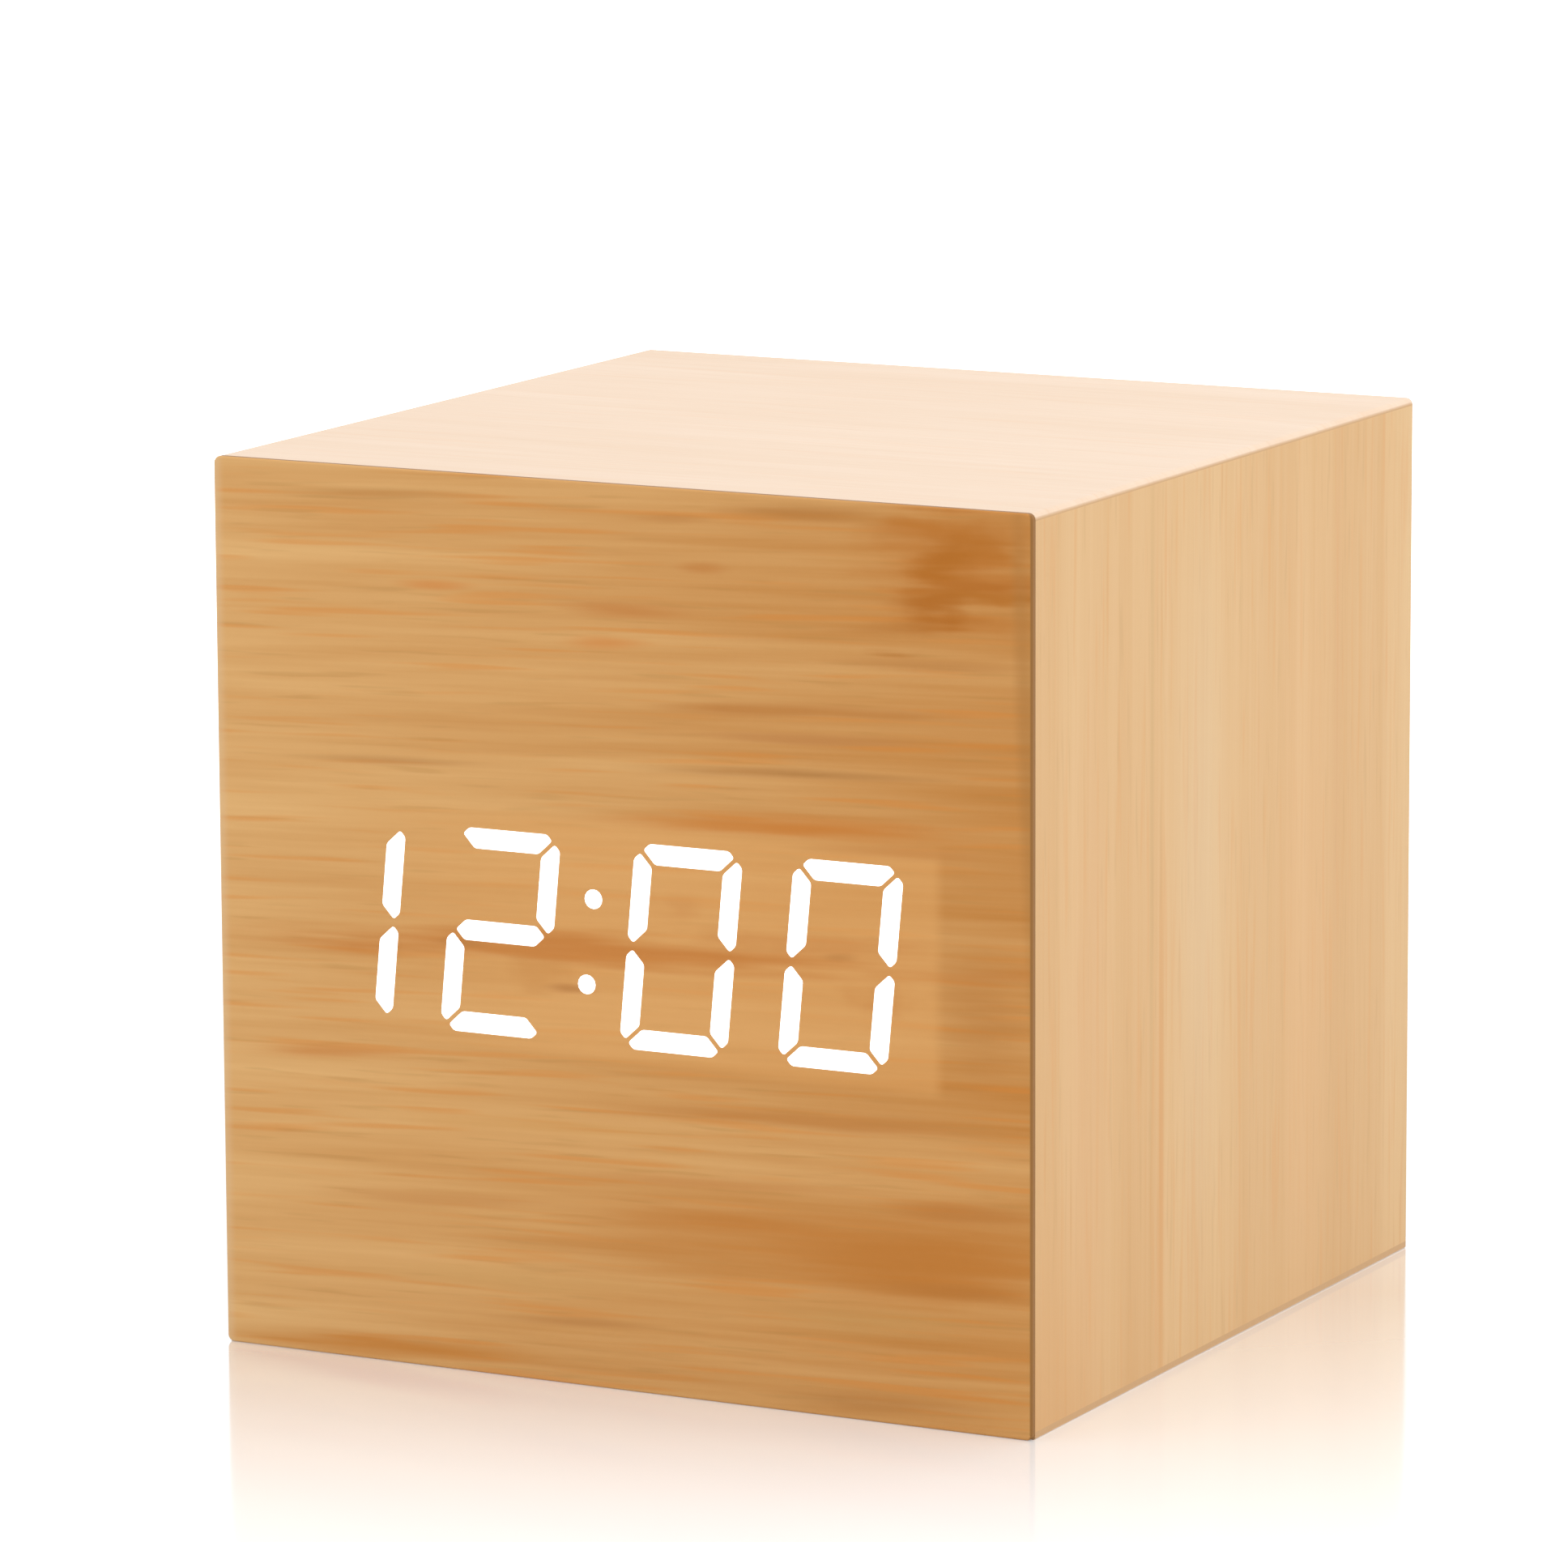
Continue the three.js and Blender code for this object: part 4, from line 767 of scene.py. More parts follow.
class Workpiece:
    """One piece on the bench, shaped with Blender's own tools and then fitted to the clock."""

    def __init__(self, obj: bpy.types.Object, name: str) -> None:
        """Names a new object and brings it to the origin, unturned and unscaled, with its place in its mesh.

        Args:
            obj: The object.
            name: The piece's name.
        """
        self.obj = obj
        obj.name = name
        obj.data.name = name
        pick(obj)
        bpy.ops.object.transform_apply(location=True, rotation=True, scale=True)

    @classmethod
    def block(cls, name: str, x: Span, y: Span, z: Span) -> "Workpiece":
        """Starts a piece from a block.

        Args:
            name: The piece's name.
            x: Where it starts and ends along X.
            y: Where it starts and ends along Y.
            z: Where it starts and ends along Z.

        Returns:
            The piece.
        """
        low, high = (Vector(corner) for corner in zip(x, y, z))
        bpy.ops.object.select_all(action="DESELECT")
        bpy.ops.mesh.primitive_cube_add(size=1, location=(low + high) / 2)
        bpy.context.active_object.scale = high - low
        return cls(bpy.context.active_object, name)

    @classmethod
    def rod(cls, name: str, place: Span, diameter: float, y: Span, sides: int = 48) -> "Workpiece":
        """Starts a piece from a round rod along Y.

        Args:
            name: The piece's name.
            place: Where its axis runs, along X and Z.
            diameter: Its diameter.
            y: Where it starts and ends along Y.
            sides: Its number of sides.

        Returns:
            The piece.
        """
        bpy.ops.object.select_all(action="DESELECT")
        bpy.ops.mesh.primitive_cylinder_add(
            vertices=sides,
            radius=diameter / 2,
            depth=y[1] - y[0],
            location=(place[0], (y[0] + y[1]) / 2, place[1]),
            rotation=(math.pi / 2, 0, 0),
        )
        return cls(bpy.context.active_object, name)

    @classmethod
    def turned(cls, name: str, axis: Axis, centre: Vector, profile: Sequence[Span],
               sides: int) -> "Workpiece":
        """Spins a profile about an axis.

        Args:
            name: The piece's name.
            axis: The axis, X or Y.
            centre: A point on it.
            profile: The radius and the place along the axis of each point, from end to end.
            sides: The number of steps of the spin.

        Returns:
            The piece.
        """
        run = Vector(axis.value)
        off_axis = centre - run * centre.dot(run)
        points = [off_axis + run * along + Vector((0, 0, radius)) for radius, along in profile]
        mesh = bpy.data.meshes.new(name)
        mesh.from_pydata(points, [(i, i + 1) for i in range(len(points) - 1)], [])
        obj = placed(name, mesh)
        with editing(obj, "VERT"):
            bpy.ops.mesh.select_all(action="SELECT")
            bpy.ops.mesh.spin(steps=sides, angle=2 * math.pi, center=centre, axis=run)
            bpy.ops.mesh.select_all(action="SELECT")
            bpy.ops.mesh.remove_doubles(threshold=SEAM)
            bpy.ops.mesh.normals_make_consistent(inside=False)
        return cls(obj, name)

    @classmethod
    def copy_of(cls, name: str, *sources: bpy.types.Object) -> "Workpiece":
        """Starts a piece from a merged copy of others, with their flat faces made whole.

        Args:
            name: The piece's name.
            *sources: The objects to copy.

        Returns:
            The piece.
        """
        copies = []
        for source in sources:
            copy = source.copy()
            copy.data = copy.data.copy()
            copy.parent = None
            for key in [key for key in copy.keys() if key.startswith("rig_")]:
                del copy[key]
            bpy.context.scene.collection.objects.link(copy)
            copies.append(copy)
        pick(*copies)
        if len(copies) > 1:
            bpy.ops.object.join()
        with editing(copies[0], "VERT"):
            bpy.ops.mesh.select_all(action="SELECT")
            bpy.ops.mesh.remove_doubles(threshold=SEAM)
            bpy.ops.mesh.dissolve_limited(angle_limit=math.radians(1))
        return cls(copies[0], name)

    def again(self, name: str, step: Sequence[float], mirrored: bool = False) -> "Workpiece":
        """Copies the piece, with a mesh of its own.

        Args:
            name: The copy's name.
            step: How far the copy stands from the piece.
            mirrored: Whether the copy's left and right change places, about the middle of the clock.

        Returns:
            The copy.
        """
        copy = placed(name, self.obj.data.copy())
        copy.location = step
        copy.scale.x = -1 if mirrored else 1
        piece = Workpiece(copy, name)
        if mirrored:
            with editing(copy, "FACE"):
                bpy.ops.mesh.select_all(action="SELECT")
                bpy.ops.mesh.normals_make_consistent(inside=False)
        return piece

    def discard(self) -> None:
        """Removes the piece."""
        bpy.data.objects.remove(self.obj)

    def bevel(self, width: float, chosen: Chosen, segments: int = 3) -> "Workpiece":
        """Rounds chosen edges.

        Args:
            width: The round's width.
            chosen: Says of an edge's middle and direction whether it is rounded.
            segments: The number of steps across the round.

        Returns:
            The piece.
        """
        with editing(self.obj, "EDGE") as mesh:
            for edge in mesh.edges:
                first, last = (v.co for v in edge.verts)
                edge.select = chosen((first + last) / 2, (last - first).normalized())
            bpy.ops.mesh.bevel(offset=width, segments=segments, profile=0.5, affect="EDGES")
        return self

    def select_faces(self, mesh: bmesh.types.BMesh, chosen: Chosen) -> None:
        """Selects faces in edit mode.

        Args:
            mesh: The piece's mesh in edit mode.
            chosen: Says of a face's middle and normal whether it is selected.
        """
        for face in mesh.faces:
            face.select = chosen(face.calc_center_median(), face.normal)
        bmesh.update_edit_mesh(self.obj.data)

    def hollow(self, chosen: Chosen, wall: float, step: Sequence[float]) -> "Workpiece":
        """Insets chosen faces and moves them to leave a wall.

        Args:
            chosen: Says of a face's middle and normal whether it is moved.
            wall: The width of the rim that is left.
            step: How the inset face moves.

        Returns:
            The piece.
        """
        with editing(self.obj, "FACE") as mesh:
            self.select_faces(mesh, chosen)
            bpy.ops.mesh.inset(thickness=wall)
            bpy.ops.mesh.extrude_region_move(TRANSFORM_OT_translate={"value": tuple(step)})
        return self

    def reshape(self, chosen: Chosen, scale: Sequence[float] = (1, 1, 1),
                step: Sequence[float] = (0, 0, 0)) -> "Workpiece":
        """Scales chosen faces about their own middle and moves them.

        Args:
            chosen: Says of a face's middle and normal whether it is reshaped.
            scale: The scale along each axis.
            step: How the faces move.

        Returns:
            The piece.
        """
        with editing(self.obj, "FACE") as mesh:
            self.select_faces(mesh, chosen)
            bpy.ops.transform.resize(value=tuple(scale))
            bpy.ops.transform.translate(value=tuple(step))
        return self

    def score(self, places: Sequence[float]) -> "Workpiece":
        """Splits the faces across X, so that no later hole lies inside a single face.

        Args:
            places: Where the middles of the later holes lie along X.

        Returns:
            The piece.
        """
        with editing(self.obj, "VERT"):
            for place in sorted(set(places)):
                bpy.ops.mesh.select_all(action="SELECT")
                bpy.ops.mesh.bisect(plane_co=(place, 0, 0), plane_no=(1, 0, 0))
        return self

    def apply(self, kind: str, **settings: object) -> "Workpiece":
        """Adds a modifier and applies it.

        Args:
            kind: The modifier's type.
            **settings: Its own properties.

        Returns:
            The piece.
        """
        modifier = self.obj.modifiers.new(kind.lower(), kind)
        for name, value in settings.items():
            setattr(modifier, name, value)
        pick(self.obj)
        bpy.ops.object.modifier_apply(modifier=modifier.name)
        return self

    def combined(self, operation: str, tools: Sequence["Workpiece"]) -> "Workpiece":
        """Applies other pieces to this one, removes them, and merges the slivers that they leave.

        Args:
            operation: DIFFERENCE or UNION.
            tools: The other pieces.

        Returns:
            The piece.
        """
        for tool in tools:
            self.apply("BOOLEAN", operation=operation, solver="EXACT", object=tool.obj)
            tool.discard()
            with editing(self.obj, "VERT"):
                bpy.ops.mesh.select_all(action="SELECT")
                bpy.ops.mesh.remove_doubles(threshold=FINEST)
                bpy.ops.mesh.dissolve_degenerate(threshold=FINEST)
        return self

    def cut(self, *tools: "Workpiece") -> "Workpiece":
        """Cuts other pieces out of this one."""
        return self.combined("DIFFERENCE", tools)

    def join(self, *tools: "Workpiece") -> "Workpiece":
        """Grows this piece by others."""
        return self.combined("UNION", tools)

    def ease(self, width: float) -> "Workpiece":
        """Rounds every sharp edge by a width."""
        return self.apply(
            "BEVEL",
            width=width,
            segments=2,
            limit_method="ANGLE",
            angle_limit=math.radians(40),
            use_clamp_overlap=False,
        )

    def smooth(self, degrees: float = 35) -> "Workpiece":
        """Shades the piece smooth across edges flatter than an angle, with its broad faces kept flat."""
        pick(self.obj)
        bpy.ops.object.shade_smooth_by_angle(angle=math.radians(degrees))
        return self.apply("WEIGHTED_NORMAL", keep_sharp=True)

    def fit(self, material: bpy.types.Material, body: str, slot: str, node: str) -> "Workpiece":
        """Dresses the finished piece, fixes it to its body and hides the CAD node that it stands for.

        Args:
            material: The piece's material.
            body: The body that it rides on.
            slot: Not used.
            node: The CAD node that it stands for.

        Returns:
            The piece.
        """
        self.obj.data.materials.clear()
        self.obj.data.materials.append(material)
        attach(self.obj, body)
        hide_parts(node)
        log.info("fitted %s, %d faces", self.obj.name, len(self.obj.data.polygons))
        return self


def dress(material: bpy.types.Material, *nodes: str) -> None:
    """Gives CAD nodes that stay as they are their finish.

    Args:
        material: The finish.
        *nodes: The nodes.
    """
    for node in nodes:
        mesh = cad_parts[node].data
        mesh.materials.clear()
        mesh.materials.append(material)
        log.info("dressed %s", node)


# Sliced bamboo, its fibres across the face: warm tan with long soft streaks, honey to orange bands and a
# brown knot, and a dark line where the leaf is cut. It is painted a little darker to the right and along its
# right edge as painted shade, with a band of painted highlight along its rounded left edge and a painted glow
# where the display's light shows through over the window.
FRONT_VENEER = BambooVeneer(
    name="bamboo veneer, front",
    grain=Grain.ACROSS_FRONT,
    pale="#ebbb7b",
    deep="#c9873f",
    cut_edge="#9a6c38",
    washes=(
        Wash("#de8a33", 0.4, (15.0, 0.65), 41.9, 0.54),
        Wash("#bd8a48", 0.26, (7.0, 0.42), 57.3, 0.58),
    ),
    specular=0.2,
    tilt_degrees=2.2,
    # Painted shade: the front grows darker to the right, away from the lamp on the left.
    painted_shade_slope=0.27,
    fibre=(12.0, 0.36),
    strand=(28.0, 1.05),
    band=(65.0, 4.0),
    weights=(0.25, 0.62, 0.65),
    end_facing=(0.25, 0.6),
    # Painted highlight: a pale band along the rounded left edge, where it catches the light.
    painted_highlight_end=(-30.0, 0.9, 0.65),
    figures=(
        Figure(-17.0, 58.3, 9.0, 0.5, "#bd8545", 0.5),
        Figure(14.0, 59.0, 7.5, 0.8, "#bb7c38", 0.7),
        Figure(4.0, 58.0, 4.0, 0.4, "#c07c38", 0.4),
        Figure(25.0, 56.4, 8.6, 4.8, "#c67e34", 0.9, 0.4, 0.15),
        Figure(24.0, 56.7, 4.6, 1.9, "#bb701c", 0.9, 0.5, 0.25, 27.0),
        Figure(23.2, 58.7, 3.6, 0.8, "#c27624", 0.7, 0.6, 0.25, -8.0),
        Figure(27.4, 57.3, 2.8, 1.1, "#bf7422", 0.75, 0.6, 0.3),
        Figure(25.8, 55.2, 4.4, 0.6, "#bd7020", 0.6, 0.5, 0.2),
        Figure(23.4, 53.5, 5.2, 1.7, "#b96e1c", 0.9, 0.5, 0.25, 22.0),
        Figure(27.4, 54.3, 4.4, 0.8, "#bc7220", 0.8, 0.6, 0.25, -4.0),
        Figure(20.0, 52.1, 4.6, 0.7, "#c4823c", 0.6, 0.2, 0.1, 4.0),
        # Painted shade: a dark band down the right edge of the front.
        Figure(29.6, 45.0, 0.9, 24.0, "#b07a3c", 0.5, 0.05),
        Figure(6.6, 55.0, 2.4, 0.5, "#c57b34", 0.5),
        Figure(-13.6, 52.5, 3.6, 0.5, "#da8f48", 0.75),
        Figure(1.2, 51.9, 5.8, 0.7, "#cb8440", 0.7),
        Figure(-0.8, 49.6, 3.8, 0.6, "#da8f48", 0.75),
        Figure(22.0, 49.8, 8.0, 0.6, "#bf8040", 0.45),
        Figure(13.0, 46.2, 13.0, 0.6, "#c27e38", 0.75),
        Figure(14.0, 44.4, 9.0, 0.5, "#c2834a", 0.45),
        Figure(11.5, 42.0, 13.5, 0.45, "#b1773a", 0.6),
        Figure(-17.0, 40.6, 9.0, 0.4, "#bd864c", 0.45),
        Figure(12.5, 38.6, 16.0, 0.9, "#d08030", 0.85),
        Figure(21.0, 37.6, 8.0, 0.6, "#c98440", 0.5),
        Figure(0.0, 29.4, 34.0, 1.3, "#cb7c30", 0.8, 0.4),
        Figure(14.0, 31.2, 10.0, 0.9, "#cf8641", 0.45, 0.4, 0.2),
        Figure(19.5, 28.0, 3.2, 1.6, "#d08a44", 0.45, 0.3, 0.45),
        Figure(4.5, 32.6, 3.4, 1.3, "#d38f4c", 0.4, 0.3, 0.45),
        Figure(-5.6, 27.6, 3.2, 1.4, "#cf8d48", 0.4, 0.3, 0.4),
        Figure(-3.6, 26.6, 2.2, 0.35, "#b8783c", 0.6, 0.3),
        Figure(-11.6, 28.9, 2.4, 0.35, "#bd7f40", 0.55, 0.3),
        Figure(16.4, 30.4, 1.7, 0.4, "#bf8040", 0.5, 0.3),
        # Painted shade: a soft dark patch near the right edge.
        Figure(26.5, 27.5, 3.6, 5.0, "#bd7d3a", 0.4, 0.3),
        Figure(-22.0, 20.6, 8.5, 0.6, "#d28a44", 0.75),
        Figure(14.0, 19.5, 16.5, 0.8, "#c5813c", 0.65),
        Figure(-6.0, 17.2, 12.0, 0.7, "#d79d57", 0.45),
        Figure(25.0, 14.4, 7.0, 0.9, "#c17c36", 0.7, 0.2),
        Figure(7.0, 14.6, 12.0, 0.6, "#cd8a48", 0.5, 0.2),
        Figure(17.0, 11.0, 24.0, 3.4, "#ca843a", 0.75, 0.25),
        Figure(22.5, 10.7, 12.0, 3.0, "#c47a2a", 0.7, 0.25),
        Figure(8.0, 12.2, 13.0, 1.2, "#c98034", 0.6, 0.25),
        Figure(24.0, 9.2, 9.0, 0.7, "#bd7830", 0.6, 0.25),
        Figure(-14.0, 11.6, 11.0, 0.7, "#cb8a48", 0.5),
        Figure(18.0, 6.6, 8.0, 1.3, "#cc9a58", 0.5, 0.3),
        Figure(-8.0, 6.6, 14.0, 1.0, "#d9a866", 0.5),
        Figure(-3.0, 4.2, 7.0, 0.5, "#c08244", 0.5),
        Figure(19.0, 1.2, 9.0, 0.9, "#b97c3c", 0.5),
        Figure(-17.5, 1.0, 13.0, 1.1, "#cc802c", 0.75),
    ),
    # Painted glow: the display's light showing warm and pale through the leaf over the window.
    window=WindowGlow((-24.5, -2.0), (24.0, 22.8), (21.4, 22.6), (38.6, 37.0), "#ebae68", 0.5),
)
# The same bamboo with its fibres upright and a paler cut edge, its colours painted paler than the front's as
# painted light from the lamp on the right: long even lines in cream and light tan, and one orange line.
SIDE_VENEER = BambooVeneer(
    name="bamboo veneer, sides",
    grain=Grain.UP_THE_SIDE,
    pale="#e5bf8a",
    deep="#d7a66b",
    cut_edge="#c99c68",
    washes=(
        Wash("#dea161", 0.4, (15.0, 0.65), 41.9, 0.54),
        Wash("#cb9d65", 0.3, (7.0, 0.42), 57.3, 0.58),
    ),
    contrast=0.8,
    fibre=(40.0, 0.35),
    strand=(90.0, 2.2),
    band=(160.0, 7.0),
    weights=(0.22, 0.8, 1.2),
    figures=(
        Figure(20.0, -22.0, 34.0, 4.5, "#e0ae7a", 0.35, 0.1),
        Figure(2.0, -27.0, 14.0, 7.0, "#d9a468", 0.55, 0.1),
        Figure(14.0, -10.6, 30.0, 0.6, "#d8964f", 0.6, 0.08),
        Figure(40.0, -12.2, 40.0, 0.5, "#cda46c", 0.4, 0.06),
        Figure(32.0, -4.5, 30.0, 4.5, "#e2c398", 0.45, 0.1),
        Figure(30.0, 4.8, 44.0, 0.8, "#dcaf78", 0.4, 0.06),
        Figure(22.0, 12.0, 40.0, 5.0, "#e6b27a", 0.35, 0.1),
        Figure(44.0, 17.4, 30.0, 0.7, "#dba873", 0.35, 0.06),
    ),
)
# The same bamboo, painted a nearly even pale pink cream with faint fibres as painted light for the strong
# lamp overhead, which looks almost white under the light.
TOP_VENEER = BambooVeneer(
    name="bamboo veneer, top",
    grain=Grain.ACROSS_TOP,
    pale="#f5dcc4",
    deep="#eccdae",
    cut_edge="#cfa371",
    washes=(
        Wash("#efcaa6", 0.35, (15.0, 0.65), 41.9, 0.54),
        Wash("#e6c5a2", 0.3, (7.0, 0.42), 57.3, 0.58),
    ),
    contrast=0.7,
    strand=(24.0, 1.6),
    band=(60.0, 7.0),
)
# Pressed wood fibre, sawn and sealed: even matt brown with fine darker fibre specks. Real fibres are finer,
# and are drawn coarse enough to show.
FIBREBOARD = Speckled("fibreboard, sawn and sealed", "#b58d5c", "#94703f", 0.35, 0.8, relief=0.03)
# The same board on edge, a shade darker, so that the mitres show as a faint change of tone.
UPRIGHT_FIBREBOARD = replace(FIBREBOARD, name="fibreboard, upright boards", colour="#ab8452", speck="#8b6839")
# Sawn spruce: pale yellow with long soft growth lines along X.
SOFTWOOD = Speckled("spruce, sawn", "#dcbf8c", "#c39c62", 0.7, 0.75, stretch=(18.0, 1.0, 1.0), relief=0.03)
# Moulded polystyrene: clean white with a soft half gloss.
WHITE_PLASTIC = Speckled("white polystyrene, moulded", "#f1f1ec", "#e2e2dc", 0.3, 0.45, relief=0.004)
# ABS moulded in a spark-eroded tool: near black, with an even fine pebble that breaks up the shine. The
# pebble is drawn twice as coarse as it is, so that it shows.
BLACK_PLASTIC = Speckled("black ABS, spark-textured", "#1c1c1e", "#2d2d30", 0.22, 0.48, relief=0.045)
# ABS from a polished tool: smoother and a little lighter than the cover, so the buttons stand out from it.
BUTTON_PLASTIC = Speckled("grey ABS, satin", "#3b3c3f", "#434448", 0.14, 0.38, relief=0.006)
# Filled epoxy: a dull even black that looks slightly dusty.
CHIP_PLASTIC = Speckled("black epoxy moulding", "#17181a", "#222325", 0.2, 0.45, relief=0.01)
# Rolled and plated strip: warm bright metal with faint upright rolling lines.
NICKEL = Speckled(
    "nickel-plated steel strip", "#cfcdc6", "#b9b7b0", 0.2, 0.27,
    stretch=(1.0, 1.0, 8.0), relief=0.004, metallic=1.0,
)
# Barrel-plated zinc: cool bluish grey metal, slightly blotched.
SCREW_STEEL = Speckled("zinc-plated steel", "#a9adb2", "#8f9297", 0.3, 0.32, relief=0.006, metallic=1.0)
# Shrunk PVC film: glossy dark blue.
CAPACITOR_SLEEVE = Speckled("blue PVC sleeve", "#23335a", "#1c2948", 0.8, 0.3, relief=0.01)
# A dipped bead of epoxy: glossy brown black.
EPOXY = Speckled("black epoxy bead", "#2a2421", "#1f1a18", 0.3, 0.3, relief=0.01)
# Flat PVC cable: matt grey with darker lines, painted shade for the grooves between its cores.
RIBBON_JACKET = Speckled(
    "grey PVC ribbon", "#bbbec2", "#8d9196", 0.9, 0.5,
    stretch=(1.0, 40.0, 40.0), relief=0.08, share=0.9,
)
# Drawn PVC: soft red and soft black with a faint sheen along the wire.
RED_JACKET = Speckled("red PVC wire jacket", "#b3261e", "#9c1f18", 0.6, 0.4, relief=0.01)
BLACK_JACKET = Speckled("black PVC wire jacket", "#202022", "#2b2b2e", 0.6, 0.4, relief=0.01)
# Lacquered glass fibre: deep glossy green with lighter tracks at the spacing of the chips' legs.
SOLDER_MASK = SolderMask("green solder mask on glass-fibre board", "#1d5a35", "#2f7a4a", 1.27)


@dataclass
class Cabinet:
    """The wooden cube: four veneered boards, the front board and its veneer, and the blocks inside."""

    corner_round: float = 0.45 * MM
    foot_round: float = 0.12 * MM
    edge_round: float = 0.12 * MM
    front_round: float = 0.16 * MM
    overrun: float = 1 * MM

    def side_leaves(self) -> None:
        """Builds the four leaves round the sides."""
        top, side = TOP_VENEER.material(), SIDE_VENEER.material()
        rounds = {"top": (frame_high.z, self.corner_round), "bottom": (frame_low.z, self.foot_round)}
        for place, material in (("top", top), ("bottom", top), ("left", side), ("right", side)):
            node = place + "_veneer"
            leaf = Workpiece.block(place + "_leaf", *zip(*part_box(node)))
            if place in rounds:
                outer, width = rounds[place]
                leaf.bevel(
                    width,
                    lambda middle, run: along_y(middle, run) and near(middle.z, outer),
                    segments=4,
                )
            leaf.bevel(self.edge_round, lambda middle, run: near(middle.y, frame_high.y), segments=2)
            leaf.smooth().fit(material, BODY, "side_veneer", node)

    def front_leaf(self, guides: Sequence[bpy.types.Object]) -> None:
        """Builds the front leaf, pierced where the lit bars come through.

        Args:
            guides: The light guides.
        """
        low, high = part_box("front_veneer")
        leaf = Workpiece.block("front_leaf", *zip(low, high))
        leaf.bevel(self.corner_round, along_y, segments=4)
        leaf.bevel(self.front_round, lambda middle, run: near(middle.y, low.y), segments=2)
        bars = Workpiece.copy_of("bars", *guides)
        bars.reshape(lambda middle, facing: near(middle.y, low.y), step=(0, -self.overrun, 0))
        leaf.cut(bars)
        leaf.smooth().fit(FRONT_VENEER.material(), BODY, "front_veneer", "front_veneer")

    def build(self, guides: Sequence[bpy.types.Object]) -> None:
        """Builds the leaves and dresses the boards.

        Args:
            guides: The light guides.
        """
        self.side_leaves()
        self.front_leaf(guides)
        dress(FIBREBOARD.material(), "top_board", "bottom_board", "front_board")
        dress(UPRIGHT_FIBREBOARD.material(), "left_board", "right_board")
        dress(SOFTWOOD.material(), "left_corner_block", "right_corner_block", "bottom_cleat")


@dataclass
class Display:
    """The light guides in the front leaf, the reflector that holds them and the board that lights them.

    Each digit's guide is a plate with a bar for each segment, whose corners are rounded.
    """

    digits: tuple[str, ...] = ("hours_tens", "hours_units", "minutes_tens", "minutes_units")
    plate_thickness: float = 0.8 * MM
    corner_round: float = 0.17 * MM
    glow: float = 1.3

    def bars(self, digit: str, acrylic: bpy.types.Material) -> Workpiece:
        """Builds a digit's guide.

        Args:
            digit: The digit's name.
            acrylic: The guide's material.

        Returns:
            The guide.
        """
        node = digit + "_guide"
        plate_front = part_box(node)[1].y - self.plate_thickness
        guide = Workpiece.copy_of(digit + "_bars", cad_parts[node])
        guide.bevel(self.corner_round, lambda middle, run: along_y(middle, run) and middle.y < plate_front)
        return guide.smooth().fit(acrylic, BODY, "light_guide", node)

    def build(self) -> list[bpy.types.Object]:
        """Builds the digits' guides and dresses the display's other pieces.

        Returns:
            The guides, the colon's among them.
        """
        # Clear acrylic, lit from behind: even white light in the face, and milky where it runs behind it.
        guide = LightGuide("clear acrylic, lit from behind", "#ffffff", self.glow, frame_low.y / MM)
        acrylic = guide.material()
        guides = [self.bars(digit, acrylic).obj for digit in self.digits]
        dress(acrylic, "colon_guide")
        dress(WHITE_PLASTIC.material(), "display_reflector")
        dress(SOLDER_MASK.material(), "display_board")
        dress(SCREW_STEEL.material(), "display_screw_upper", "display_screw_lower")
        return [*guides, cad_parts["colon_guide"]]


